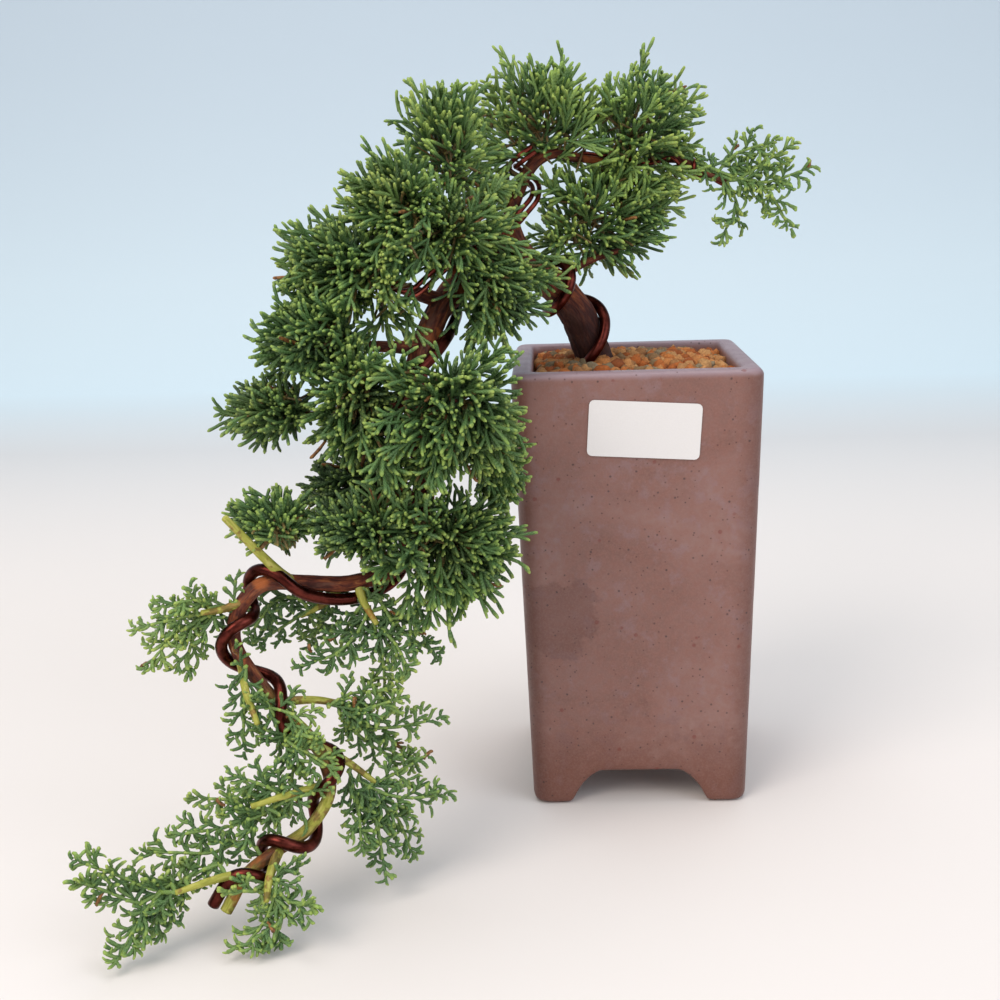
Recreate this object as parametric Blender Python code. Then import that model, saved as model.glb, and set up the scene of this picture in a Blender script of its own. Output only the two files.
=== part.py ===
"""A juniper bonsai in the cascade style, trained with wire, in a tall tapered square pot.

Run with: blender --background --python part.py
Metres, +Z up. The pot's front faces -Y. The origin is under the middle of the whole
object's footprint, on the surface that it stands on.
"""
import math

import bmesh
import bpy
from mathutils import Matrix, Vector

MM = 0.001
GAP = 0.3                    # clearance between pieces that touch, in mm
MERGE = 0.000001             # merge distance, in metres

# Pot, in mm
POT_TOP = 100.0              # outer width at the rim
POT_BASE = 90.0              # outer width at the feet
POT_HEIGHT = 185.0
POT_WALL = 8.5
POT_CORNER = 6.0             # radius of the upright corners
EDGE_ROUND = 2.2             # rounding of the rim's and the feet's outer edges
FLOOR_UNDER = 17.0           # height of the pot floor's underside
FLOOR_THICK = 7.0
ARCH_WIDE = 54.0             # arch between two feet, at the surface it stands on
ARCH_TOP = 34.0              # the flat top of the arch
ARCH_HIGH = 15.0
FOOT_ROUND = 3.0             # how far a foot's inner corner is rounded back
ARCH_SIDE = [(0.13, 0.05), (0.04, 0.2), (-0.16, 0.47), (-0.54, 0.77)]   # shares of its slope and height
DRAIN_RADIUS = 8.0

# What lies in the pot, in mm
MESH_WIDE = 30.0
MESH_THICK = 1.0
CLIP_WIRE = 1.6              # diameter of the clip's wire
CLIP_BEND = 1.5
CLIP_BELOW = 2.0             # how far the clip's legs reach below the pot's floor
SOIL_BELOW_RIM = 3.0         # the soil's edge below the rim
SOIL_CROWN = 3.0             # how much higher the soil's middle is
SOIL_SHOULDER = 9.0          # from the soil's edge to its flat middle
STUMP_DEPTH = 30.0           # how deep the trunk's root stump goes

# Wires, in mm
MAIN_WIRE = 4.5              # diameters
THIN_WIRE = 2.0
SPRAY_WIRE = 1.5
WIRE_LIFT = 0.5              # from the bark to the wire's centre-line circle, past its radius
WIRE_STEP = 4.0              # between two points of a wound wire
FINE_STEP = 3.2              # between two points of a thin wire

# Label, in mm
LABEL_WIDE = 44.5
LABEL_TALL = 22.5
LABEL_THICK = 0.3
LABEL_CORNER = 2.0
LABEL_ACROSS = 2.4           # its centre on the front face
LABEL_UP = 162.0
LABEL_TILT = 3.5             # degrees

VIEWER = Vector((0.04, -0.97, 0.23))     # the side that a wire's turns are counted from
WOOD_STEP = 5.0              # between two rings of a trunk, branch or stem, in mm
CUTTER_OVER = 5.0            # how far a cutter runs past the face that it opens

# The tree's heights below are those over a soil whose top is at TREE_SOIL; LIFT moves them to the pot's
SOIL_TOP = POT_HEIGHT - SOIL_BELOW_RIM + SOIL_CROWN
TREE_SOIL = 185.0
LIFT = SOIL_TOP - TREE_SOIL

# The trunk, from its buried stump to its cut end: (x, y, z, radius) in mm, and how many
# turns the main wire has made round it. 0 is the side to the viewer, a quarter is the left
# of the way that the trunk runs.
TRUNK = [
    (-13, 3, TREE_SOIL - STUMP_DEPTH, 6.0, 0.20), (-14, 1, 177, 8.0, 0.16), (-17, 0, 189, 7.6, 0.0),
    (-24, -4, 206, 7.0, -0.45), (-35, -10, 219, 6.4, -1.35), (-48, -18, 226, 6.0, -1.9),
    (-61, -29, 225, 5.6, -2.3), (-72, -42, 217, 5.2, -2.6), (-80, -55, 205, 4.8, -2.75),
    (-85, -67, 189, 4.4, -2.95), (-85, -77, 170, 4.1, -3.4), (-82, -85, 150, 3.8, -3.9),
    (-84, -90, 132, 3.5, -4.3), (-94, -94, 120, 3.2, -4.58), (-110, -98, 116, 3.0, -4.74),
    (-126, -103, 118, 2.9, -4.88), (-140, -107, 119, 2.9, -5.22), (-149, -110, 111, 2.8, -5.72),
    (-151, -113, 99, 2.6, -6.16), (-144, -115, 86, 2.5, -6.55), (-133, -118, 73, 2.4, -7.04),
    (-121, -122, 60, 2.4, -7.55), (-117, -128, 47, 2.2, -8.1), (-124, -135, 36, 2.2, -8.65),
    (-136, -142, 30, 2.3, -9.25), (-145, -147, 24, 2.3, -10.05), (-152, -152, 13, 2.2, -10.25)]

# Branches, from the trunk's line outwards: (x, y, z, radius) in mm
BRANCHES = {
    "apex_branch": [(-42, -14, 226, 4.4), (-47, -12, 235, 3.8), (-49, -8, 245, 3.2),
                    (-46, -5, 254, 2.8), (-42, -2, 262, 2.6), (-37, 0, 267, 2.4),
                    (-30, 2, 269, 2.0), (-22, 3, 267, 1.8)],
    "crown_left_branch": [(-53, -22, 226, 3.0), (-62, -25, 240, 2.0), (-69, -30, 252, 1.6),
                          (-74, -36, 264, 1.2)],
    "right_low_branch": [(-33, -8, 217, 2.6), (-24, 0, 222, 2.0), (-14, 3, 226, 1.5),
                         (-4, 3, 229, 1.1)],
    "upper_left_branch": [(-66, -36, 222, 3.0), (-76, -47, 233, 2.4), (-84, -56, 243, 1.7),
                          (-90, -62, 250, 1.2)],
    "left_top_branch": [(-75, -46, 214, 3.0), (-88, -58, 220, 2.4), (-101, -67, 227, 1.8),
                        (-112, -71, 231, 1.2)],
    "left_branch": [(-82, -60, 198, 2.8), (-95, -71, 200, 2.2), (-108, -79, 202, 1.8),
                    (-120, -83, 203, 1.2)],
    "left_low_branch": [(-85, -72, 180, 2.6), (-101, -79, 178, 2.0), (-118, -84, 177, 1.6),
                        (-136, -86, 178, 1.1)],
    "centre_branch": [(-85, -75, 174, 2.6), (-80, -88, 178, 2.0), (-74, -97, 182, 1.6),
                      (-68, -104, 184, 1.1)],
    "centre_right_branch": [(-83, -82, 158, 2.4), (-71, -82, 158, 1.8), (-60, -79, 160, 1.5),
                            (-50, -77, 162, 1.0)],
    "dark_branch": [(-83, -86, 145, 2.2), (-93, -82, 146, 1.7), (-106, -77, 148, 1.1)],
    "low_centre_branch": [(-83, -89, 136, 2.2), (-75, -92, 133, 1.6), (-67, -94, 130, 1.1)],
    "low_left_branch": [(-92, -94, 121, 2.0), (-99, -103, 130, 1.6), (-110, -109, 138, 1.2)]}

# The branch that carries the right spray, on from the apex branch's end
SPRAY_BRANCH = [(-20, 3, 267, 1.7), (-7, 8, 265, 1.6), (9, 10, 265, 1.5), (21, 6, 265, 1.4),
                (30, 4, 260, 1.3), (40, 3, 256, 1.0)]

# Stems of the cascade's sprays, and the stub of a cut branch: (x, y, z, radius) in mm
STEMS = {
    "hanging_stem": [(-107, -97, 116, 1.8), (-105, -101, 110, 1.4), (-100, -104, 102, 1.0)],
    "hanging_left_stem": [(-113, -98, 116, 1.6), (-120, -96, 108, 1.3), (-130, -93, 102, 1.0)],
    "left_spray_stem": [(-148, -110, 113, 1.5), (-155, -115, 112, 1.3), (-161, -118, 112, 1.0)],
    "cascade_left_stem": [(-149, -114, 92, 1.5), (-146, -123, 84, 1.4), (-141, -130, 74, 1.0)],
    "cascade_right_stem": [(-136, -117, 77, 1.6), (-122, -113, 76, 1.4), (-108, -109, 71, 1.0)],
    "cascade_low_stem": [(-122, -121, 61, 1.6), (-112, -120, 55, 1.4), (-102, -117, 45, 1.0)],
    "low_left_stem": [(-118, -127, 49, 1.5), (-130, -137, 50, 1.3), (-142, -144, 49, 1.0)],
    "bottom_stem": [(-134, -141, 31, 1.6), (-136, -151, 25, 1.5), (-136, -158, 20, 1.0)],
    "bottom_left_stem": [(-144, -146, 25, 1.5), (-154, -155, 27, 1.4), (-166, -162, 26, 1.0)],
    "cut_stub": [(-131, -105, 119, 2.0), (-138, -112, 130, 1.7), (-150, -118, 147, 1.3)]}

# The pair of thin wires: their common line over the trunk and up the apex branch, in mm
THIN_LINE = [(-92, -57, 225), (-96, -58, 229), (-99, -63, 230), (-99, -68, 227), (-95, -70, 222),
             (-89, -70, 219), (-84, -67, 220), (-79, -62, 224), (-74, -57, 228), (-68, -48, 233),
             (-61, -40, 236), (-54, -32, 239), (-48, -22, 242), (-43, -15, 247), (-39, -9, 252),
             (-39, -1, 257), (-44, 4, 261), (-48, -1, 264), (-45, -7, 267), (-39, -6, 271)]
THIN_PITCH = 2.7             # between the two wires' centre lines
SPRAY_TURNS = (0.1, -0.1, -1.4)      # turns of the spray wire at its start, middle and end

# Foliage pads: (x, y, z), half sizes along x, y, z, turn about Y in degrees, all in mm
PADS = {
    "foliage_crown_centre": ((-38, 1, 286), (26, 23, 24), 0),
    "foliage_crown_right": ((8, 8, 279), (25, 25, 29), 0),
    "foliage_crown_left": ((-74, -38, 275), (20, 21, 24), 0),
    "foliage_crown_front": ((-73, -54, 244), (22, 13, 16), 0),
    "foliage_front_hanging": ((-54, -50, 217), (17, 12, 19), 0),
    "foliage_right_low": ((-11, 8, 239), (34, 19, 24), 0),
    "foliage_right_spray": ((51, 0, 254), (22, 10, 18), 0),
    "foliage_upper_left": ((-91, -62, 252), (20, 21, 20), 0),
    "foliage_left_top": ((-112, -72, 231), (22, 22, 20), 0),
    "foliage_left": ((-119, -84, 206), (23, 23, 19), 0),
    "foliage_left_tip": ((-137, -88, 180), (19, 18, 14), 0),
    "foliage_centre_left": ((-103, -98, 183), (19, 18, 25), 0),
    "foliage_centre": ((-66, -102, 180), (24, 19, 26), 0),
    "foliage_centre_right": ((-55, -80, 159), (12, 15, 22), 0),
    "foliage_low_centre": ((-68, -95, 128), (23, 18, 24), 0),
    "foliage_dark": ((-107, -79, 147), (22, 18, 18), 0),
    "foliage_low_left": ((-103, -110, 140), (23, 15, 13), 0),
    "foliage_low_left_tip": ((-134, -107, 143), (18, 9, 11), 0),
    "foliage_hanging": ((-97, -106, 98), (23, 17, 19), 0),
    "foliage_hanging_left": ((-130, -91, 99), (16, 11, 11), 0),
    "foliage_left_spray": ((-163, -120, 113), (16, 11, 18), 0),
    "foliage_cascade_left": ((-137, -134, 70), (14, 11, 18), 0),
    "foliage_cascade_right": ((-99, -108, 71), (22, 13, 13), 0),
    "foliage_cascade_low": ((-96, -116, 40), (17, 12, 22), 0),
    "foliage_low_left_spray": ((-143, -146, 47), (21, 11, 11), 15),
    "foliage_bottom": ((-135, -163, 17), (12, 10, 14), 0),
    "foliage_bottom_left": ((-175, -166, 21), (23, 11, 17), -15)}
PAD_SEGMENTS = 12
PAD_RINGS = 7

COLOURS = {                  # base colour, roughness, metallic
    "stoneware": ((0.27, 0.15, 0.12), 0.45, 0.0),
    "clay_grains": ((0.46, 0.18, 0.06), 0.9, 0.0),
    "bark": ((0.20, 0.07, 0.03), 0.85, 0.0),
    "green_wood": ((0.42, 0.42, 0.06), 0.6, 0.0),
    "anodised_wire": ((0.16, 0.04, 0.03), 0.3, 1.0),
    "copper_brown_wire": ((0.42, 0.14, 0.10), 0.3, 1.0),
    "foliage": ((0.06, 0.19, 0.04), 0.6, 0.0),
    "label_paper": ((0.86, 0.86, 0.84), 0.5, 0.0),
    "mesh_plastic": ((0.03, 0.03, 0.03), 0.5, 0.0),
    "clip_wire": ((0.6, 0.6, 0.6), 0.3, 1.0)}


# ---------------------------------------------------------------- helpers

def material(name):
    """The named Principled material, made once."""
    found = bpy.data.materials.get(name)
    if found:
        return found
    made = bpy.data.materials.new(name)
    made.use_nodes = True
    shader = made.node_tree.nodes["Principled BSDF"]
    colour, roughness, metallic = COLOURS[name]
    shader.inputs["Base Color"].default_value = (*colour, 1.0)
    shader.inputs["Roughness"].default_value = roughness
    shader.inputs["Metallic"].default_value = metallic
    return made


def move_to(obj, collection):
    for old in list(obj.users_collection):
        old.objects.unlink(obj)
    collection.objects.link(obj)


def finish(obj, name, slot, home):
    """Name a piece, give it its material and put it in the object's collection."""
    obj.name = name
    obj.data.name = name
    obj.data.materials.clear()
    obj.data.materials.append(material(slot))
    obj.data.shade_smooth()
    obj.data.set_sharp_from_angle(angle=math.radians(40))
    move_to(obj, home)
    return obj


def cutter(obj, name, cutters):
    """Mark an object as a cutter: hidden from renders and drawn as wire."""
    obj.name = name
    obj.hide_render = True
    obj.display_type = "WIRE"
    move_to(obj, cutters)
    return obj


def as_mesh(obj):
    """Turn a curve, or a mesh with modifiers, into a plain welded mesh object."""
    bpy.context.view_layer.update()
    evaluated = obj.evaluated_get(bpy.context.evaluated_depsgraph_get())
    mesh = bpy.data.meshes.new_from_object(evaluated)
    work = bmesh.new()
    work.from_mesh(mesh)
    bmesh.ops.remove_doubles(work, verts=work.verts, dist=MERGE)
    work.to_mesh(mesh)
    work.free()
    made = bpy.data.objects.new(obj.name, mesh)
    bpy.context.scene.collection.objects.link(made)
    made.matrix_world = obj.matrix_world.copy()
    bpy.data.objects.remove(obj)
    return made


def largest_body(obj):
    """Drop the offcuts that a Boolean leaves beside the main body."""
    work = bmesh.new()
    work.from_mesh(obj.data)
    left = set(work.faces)
    bodies = []
    while left:
        front = [left.pop()]
        body = list(front)
        while front:
            fresh = left.intersection(face for edge in front.pop().edges for face in edge.link_faces)
            left -= fresh
            body.extend(fresh)
            front.extend(fresh)
        volume = sum(face.calc_area() * face.normal.dot(face.calc_center_median()) for face in body)
        bodies.append((volume, body))
    bodies.sort(key=lambda pair: pair[0])
    for _, body in bodies[:-1]:
        bmesh.ops.delete(work, geom=body, context="FACES")
    work.to_mesh(obj.data)
    work.free()
    return obj


def cut(obj, tools):
    """Take the tools away from a piece, and keep its main body."""
    for tool in tools:
        step = obj.modifiers.new("cut", "BOOLEAN")
        step.operation = "DIFFERENCE"
        step.use_self = "wire" in tool.name      # a tightly wound wire's way can meet itself
        step.object = tool
    return largest_body(as_mesh(obj))


def lifted(rows):
    """Rows that start with (x, y, z), raised with the soil's top."""
    return [(row[0], row[1], row[2] + LIFT, *row[3:]) for row in rows]


def smooth_line(knots, step):
    """A Catmull-Rom line through the knots, with a point about every step mm."""
    before = tuple(2 * a - b for a, b in zip(knots[0], knots[1]))
    after = tuple(2 * a - b for a, b in zip(knots[-1], knots[-2]))
    rows = [before, *knots, after]
    line = []
    for i in range(1, len(rows) - 2):
        count = max(1, round((Vector(rows[i + 1][:3]) - Vector(rows[i][:3])).length / step))
        for k in range(count):
            t = k / count
            line.append(tuple(
                0.5 * (2 * b + (c - a) * t + (2 * a - 5 * b + 4 * c - d) * t ** 2
                       + (3 * b - a - 3 * c + d) * t ** 3)
                for a, b, c, d in zip(*rows[i - 1:i + 3])))
    line.append(tuple(knots[-1]))
    return line


def tube(line, extra=0.0):
    """A capped tube along a line of (x, y, z, radius) in mm; extra widens and lengthens it."""
    curve = bpy.data.curves.new("tube", "CURVE")
    curve.dimensions = "3D"
    curve.bevel_depth = MM
    curve.bevel_resolution = 2
    curve.use_fill_caps = True
    places = [Vector(point[:3]) for point in line]
    places[0] += (places[0] - places[1]).normalized() * extra
    places[-1] += (places[-1] - places[-2]).normalized() * extra
    spline = curve.splines.new("POLY")
    spline.points.add(len(line) - 1)
    for point, place, row in zip(spline.points, places, line):
        point.co = (*(place * MM), 1.0)
        point.radius = row[3] + extra
    obj = bpy.data.objects.new("tube", curve)
    bpy.context.scene.collection.objects.link(obj)
    return as_mesh(obj)


def wound(line, wire, step):
    """The line of a wire round a branch whose line has (x, y, z, radius, turns)."""
    dense = smooth_line(line, step / 8)
    places = [Vector(point[:3]) for point in dense]
    rings = []
    for i, place in enumerate(places):
        along = (places[min(i + 12, len(places) - 1)] - places[max(i - 12, 0)]).normalized()
        front = (VIEWER - along * VIEWER.dot(along)).normalized()
        left = front.cross(along)
        angle = dense[i][4] * math.tau
        out = front * math.cos(angle) + left * math.sin(angle)
        rings.append(place + out * (dense[i][3] + wire / 2 + WIRE_LIFT))
    kept = [rings[0]]
    for ring in rings:
        if (ring - kept[-1]).length >= step:
            kept.append(ring)
    return [(*place, wire / 2) for place in kept]


def beside(line, radius, shift):
    """A line moved sideways, across its run and the way to the viewer, by shift mm."""
    places = [Vector(point[:3]) for point in line]
    made = []
    for i, place in enumerate(places):
        along = (places[min(i + 2, len(places) - 1)] - places[max(i - 2, 0)]).normalized()
        across = along.cross(VIEWER).normalized()
        made.append((*(place + across * shift), radius))
    return made


def square_block(wide_low, wide_high, low, high, corner, edge=0.0):
    """A square block that widens upwards, with rounded upright corners and end edges."""
    bpy.ops.mesh.primitive_cube_add(size=1.0)
    obj = bpy.context.object
    work = bmesh.new()
    work.from_mesh(obj.data)
    for vertex in work.verts:
        above = vertex.co.z > 0
        wide = (wide_high if above else wide_low) * MM
        vertex.co.x *= wide
        vertex.co.y *= wide
        vertex.co.z = (high if above else low) * MM
    upright = [e for e in work.edges if abs(e.verts[0].co.z - e.verts[1].co.z) > MM]
    bmesh.ops.bevel(work, geom=upright, offset=corner * MM, segments=4, profile=0.5, affect="EDGES")
    if edge:
        level = [e for e in work.edges if abs(e.verts[0].co.z - e.verts[1].co.z) < MERGE]
        bmesh.ops.bevel(work, geom=level, offset=edge * MM, segments=3, profile=0.5, affect="EDGES")
    work.to_mesh(obj.data)
    work.free()
    return obj


def outline_bar(points, length):
    """A flat outline of (x, z) in mm, drawn out along Y to a length."""
    curve = bpy.data.curves.new("outline", "CURVE")
    curve.dimensions = "2D"
    curve.fill_mode = "BOTH"
    curve.extrude = length * MM / 2
    spline = curve.splines.new("POLY")
    spline.points.add(len(points) - 1)
    for point, (x, z) in zip(spline.points, points):
        point.co = (x * MM, z * MM, 0.0, 1.0)
    spline.use_cyclic_u = True
    obj = bpy.data.objects.new("outline", curve)
    bpy.context.scene.collection.objects.link(obj)
    made = as_mesh(obj)
    made.data.transform(Matrix.Rotation(math.pi / 2, 4, "X"))
    return made


def pot_width(height):
    """The pot's outer width at a height."""
    return POT_BASE + (POT_TOP - POT_BASE) * height / POT_HEIGHT


# ---------------------------------------------------------------- pot and what it holds

def build_pot(home, cutters):
    pot = square_block(POT_BASE, POT_TOP, 0.0, POT_HEIGHT, POT_CORNER, EDGE_ROUND)
    floor_top = FLOOR_UNDER + FLOOR_THICK
    above = POT_HEIGHT + CUTTER_OVER
    below = -CUTTER_OVER
    inside = square_block(pot_width(floor_top) - 2 * POT_WALL, pot_width(above) - 2 * POT_WALL,
                          floor_top, above, POT_CORNER / 2)
    under = square_block(POT_BASE - 2 * POT_WALL, pot_width(FLOOR_UNDER) - 2 * POT_WALL,
                         below, FLOOR_UNDER, POT_CORNER / 2)
    half = ARCH_WIDE / 2
    slope = half - ARCH_TOP / 2
    side = [(half + FOOT_ROUND, below), (half + FOOT_ROUND, 0.0)]
    side += [(half + out * slope, up * ARCH_HIGH) for out, up in ARCH_SIDE]
    side.append((ARCH_TOP / 2, ARCH_HIGH))
    arch = side + [(-x, z) for x, z in reversed(side)]
    through = POT_TOP + 2 * CUTTER_OVER
    arch_y = outline_bar(arch, through)
    arch_x = outline_bar(arch, through)
    arch_x.data.transform(Matrix.Rotation(math.pi / 2, 4, "Z"))
    depth = FLOOR_THICK + 2 * CUTTER_OVER
    bpy.ops.mesh.primitive_cylinder_add(vertices=24, radius=DRAIN_RADIUS * MM, depth=depth * MM,
                                        location=(0, 0, (FLOOR_UNDER + FLOOR_THICK / 2) * MM))
    drain = bpy.context.object
    tools = {"cut_inside": inside, "cut_under": under, "cut_arch_x": arch_x, "cut_arch_y": arch_y,
             "cut_drain": drain}
    pot = cut(pot, [cutter(tool, name, cutters) for name, tool in tools.items()])
    finish(pot, "pot", "stoneware", home)


def build_drain(home, cutters):
    """The mesh over the hole, and the wire clip whose legs go through both. Returns its top."""
    bottom = FLOOR_UNDER + FLOOR_THICK + GAP
    bpy.ops.mesh.primitive_cube_add(size=1.0)
    plate = bpy.context.object
    plate.data.transform(Matrix.Diagonal((MESH_WIDE * MM, MESH_WIDE * MM, MESH_THICK * MM, 1)))
    plate.data.transform(Matrix.Translation((0, 0, (bottom + MESH_THICK / 2) * MM)))
    over = bottom + MESH_THICK + GAP + CLIP_WIRE / 2
    leg = DRAIN_RADIUS - CLIP_WIRE / 2 - 2 * GAP
    low = FLOOR_UNDER - CLIP_BELOW
    right = [(leg, low), (leg, over - CLIP_BEND), (leg - CLIP_BEND, over)]
    route = right + [(-x, z) for x, z in reversed(right)]
    line = [(x, 0, z, CLIP_WIRE / 2) for x, z in route]
    plate = cut(plate, [cutter(tube(line, GAP), "cut_clip_way", cutters)])
    finish(plate, "drainage_mesh", "mesh_plastic", home)
    finish(tube(line), "mesh_clip", "clip_wire", home)
    return over + CLIP_WIRE / 2 + GAP


def build_soil(base, ways, home):
    """The grain bed: it fills the pot to a clearance, and its top is crowned."""
    edge_top = POT_HEIGHT - SOIL_BELOW_RIM
    inset = 2 * (POT_WALL + GAP)
    soil = square_block(pot_width(base) - inset, pot_width(edge_top) - inset, base, edge_top, POT_CORNER / 2)
    work = bmesh.new()
    work.from_mesh(soil.data)
    top = [face for face in work.faces if face.normal.z > 0.9]
    raised = bmesh.ops.extrude_discrete_faces(work, faces=top)["faces"][0]
    share = 1 - 2 * SOIL_SHOULDER / pot_width(edge_top)
    for vertex in raised.verts:
        vertex.co.x *= share
        vertex.co.y *= share
        vertex.co.z = (edge_top + SOIL_CROWN) * MM
    work.to_mesh(soil.data)
    work.free()
    finish(cut(soil, ways), "soil", "clay_grains", home)


def build_label(home):
    """A blank sticker, a clearance off the sloping front face."""
    bpy.ops.mesh.primitive_cube_add(size=1.0)
    label = bpy.context.object
    label.data.transform(Matrix.Diagonal((LABEL_WIDE * MM, LABEL_THICK * MM, LABEL_TALL * MM, 1)))
    work = bmesh.new()
    work.from_mesh(label.data)
    through = [e for e in work.edges if abs(e.verts[0].co.y - e.verts[1].co.y) > MERGE]
    bmesh.ops.bevel(work, geom=through, offset=LABEL_CORNER * MM, segments=3, profile=0.5, affect="EDGES")
    work.to_mesh(label.data)
    work.free()
    slope = math.atan((POT_TOP - POT_BASE) / 2 / POT_HEIGHT)
    out = (GAP + LABEL_THICK / 2) / math.cos(slope)
    place = Vector((LABEL_ACROSS, -pot_width(LABEL_UP) / 2 - out, LABEL_UP)) * MM
    label.data.transform(Matrix.Rotation(math.radians(LABEL_TILT), 4, "Y"))
    label.data.transform(Matrix.Rotation(slope, 4, "X"))
    label.data.transform(Matrix.Translation(place))
    finish(label, "label", "label_paper", home)


# ---------------------------------------------------------------- foliage

def pad(row, extra=0.0):
    """A foliage pad: a rounded closed form of the given half sizes."""
    place, half, turn = row
    bpy.ops.mesh.primitive_uv_sphere_add(segments=PAD_SEGMENTS, ring_count=PAD_RINGS, radius=1.0)
    obj = bpy.context.object
    obj.data.transform(Matrix.Diagonal(tuple((h + extra) * MM for h in half) + (1.0,)))
    obj.data.transform(Matrix.Rotation(math.radians(turn), 4, "Y"))
    obj.data.transform(Matrix.Translation(Vector(place) * MM))
    return obj


def passes(row, line):
    """Whether a line comes near a pad."""
    place, half, _ = row
    return any((Vector(point[:3]) - Vector(place)).length < max(half) + 2 * point[3] for point in line)


def build_foliage(ways, home, cutters):
    """Each pad is cut back from the wood, the wires and the pads made before it."""
    earlier = []
    for name, (place, half, turn) in PADS.items():
        row = (lifted([place])[0], half, turn)
        tools = [way for line, way in ways if passes(row, line)]
        for other, way in earlier:
            if (Vector(row[0]) - Vector(other[0])).length < max(row[1]) + max(other[1]):
                tools.append(way)
        finish(cut(pad(row), tools), name, "foliage", home)
        earlier.append((row, cutter(pad(row, GAP), "cut_" + name, cutters)))


# ---------------------------------------------------------------- the whole

def build():
    for obj in list(bpy.data.objects):
        bpy.data.objects.remove(obj)
    home = bpy.data.collections.new("bonsai_tree")
    cutters = bpy.data.collections.new("cutters")
    bpy.context.scene.collection.children.link(home)
    bpy.context.scene.collection.children.link(cutters)

    build_pot(home, cutters)
    build_label(home)
    soil_base = build_drain(home, cutters)

    # Wires: the main one round the trunk, a pair on the apex branch, one on the right spray
    main_line = wound(lifted(TRUNK), MAIN_WIRE, WIRE_STEP)
    thin_line = smooth_line(lifted(THIN_LINE), FINE_STEP)
    spray_knots = [(*row, SPRAY_TURNS[0] if i < 2 else SPRAY_TURNS[1] if i < 4 else SPRAY_TURNS[2])
                   for i, row in enumerate(lifted(SPRAY_BRANCH))]
    wires = {
        "main_wire": (main_line, "anodised_wire"),
        "thin_wire_upper": (beside(thin_line, THIN_WIRE / 2, THIN_PITCH / 2), "copper_brown_wire"),
        "thin_wire_lower": (beside(thin_line, THIN_WIRE / 2, -THIN_PITCH / 2), "copper_brown_wire"),
        "spray_wire": (wound(spray_knots, SPRAY_WIRE, FINE_STEP), "copper_brown_wire")}
    wire_ways = []
    for name, (line, slot) in wires.items():
        finish(tube(line), name, slot, home)
        wire_ways.append((line, cutter(tube(line, GAP), "cut_way_" + name, cutters)))

    # Wood: what is made later is cut back to a clearance from what is made earlier
    trunk_line = smooth_line([row[:4] for row in lifted(TRUNK)], WOOD_STEP)
    finish(tube(trunk_line), "trunk", "bark", home)
    wood_ways = [(trunk_line, cutter(tube(trunk_line, GAP), "cut_way_trunk", cutters))]
    woods = {**BRANCHES, "right_spray_branch": SPRAY_BRANCH, **STEMS}
    for name, knots in woods.items():
        line = smooth_line(lifted(knots), WOOD_STEP)
        tools = [way for _, way in wood_ways[:2] + wire_ways]
        finish(cut(tube(line), tools), name, "green_wood" if name in STEMS else "bark", home)
        wood_ways.append((line, cutter(tube(line, GAP), "cut_way_" + name, cutters)))

    build_soil(soil_base, [wood_ways[0][1], wire_ways[0][1]], home)
    build_foliage(wood_ways + wire_ways, home, cutters)

    # The whole stands with the middle of its footprint on the origin
    bpy.context.view_layer.update()
    corners = [obj.matrix_world @ Vector(corner) for obj in home.objects for corner in obj.bound_box]
    low = [min(corner[i] for corner in corners) for i in range(3)]
    high = [max(corner[i] for corner in corners) for i in range(3)]
    shift = Vector(((low[0] + high[0]) / -2, (low[1] + high[1]) / -2, -low[2]))
    for obj in home.objects:
        obj.data.transform(Matrix.Translation(shift))


build()
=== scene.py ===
"""Looks of a juniper bonsai in the cascade style, trained with wire, in a tall square stoneware pot.

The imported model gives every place: the pot's box is the frame that the wood's lines are written
in, and each foliage pad's box holds the sprays that stand for it.
"""
import math
import random
from functools import partial

import bmesh
import bpy
import numpy
from mathutils import Matrix, Vector, noise


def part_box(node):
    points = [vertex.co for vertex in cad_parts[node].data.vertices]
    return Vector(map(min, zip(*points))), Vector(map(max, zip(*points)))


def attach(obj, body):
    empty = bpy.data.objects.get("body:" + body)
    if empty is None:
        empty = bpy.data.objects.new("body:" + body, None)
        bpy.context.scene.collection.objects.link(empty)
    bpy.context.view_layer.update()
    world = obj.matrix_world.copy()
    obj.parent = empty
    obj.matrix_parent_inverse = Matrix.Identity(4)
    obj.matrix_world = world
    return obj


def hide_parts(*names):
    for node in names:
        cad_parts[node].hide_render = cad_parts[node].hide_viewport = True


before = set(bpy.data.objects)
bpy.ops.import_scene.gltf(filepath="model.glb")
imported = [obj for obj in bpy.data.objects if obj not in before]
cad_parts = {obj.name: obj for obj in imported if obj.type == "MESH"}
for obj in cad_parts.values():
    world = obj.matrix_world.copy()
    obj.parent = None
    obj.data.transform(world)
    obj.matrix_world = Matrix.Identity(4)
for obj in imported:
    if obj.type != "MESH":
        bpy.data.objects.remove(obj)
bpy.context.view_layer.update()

MM = 0.001
POT_LOW, POT_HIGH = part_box("pot")
POT_FOOT = Vector(((POT_LOW.x + POT_HIGH.x) / 2, (POT_LOW.y + POT_HIGH.y) / 2, 0.0))
SOIL_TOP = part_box("soil")[1].z / MM
HALF_FOOT = 45.0 * MM        # half the pot's width at its feet
WALL_SPREAD = ((POT_HIGH.x - POT_LOW.x) / 2 - HALF_FOOT) / POT_HIGH.z

# Wires, in mm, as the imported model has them
MAIN_WIRE = 4.5
THIN_WIRE = 2.0
SPRAY_WIRE = 1.5
THIN_PITCH = 2.7             # from one thin wire's middle to the other's
WIRE_LIFT = 0.5              # between a wire and the bark
FINE_STEP = 0.9              # between two rings of a wire or a stem
VIEWER = Vector((0.04, -0.97, 0.23))      # the side that a wire's turns are counted from

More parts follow.
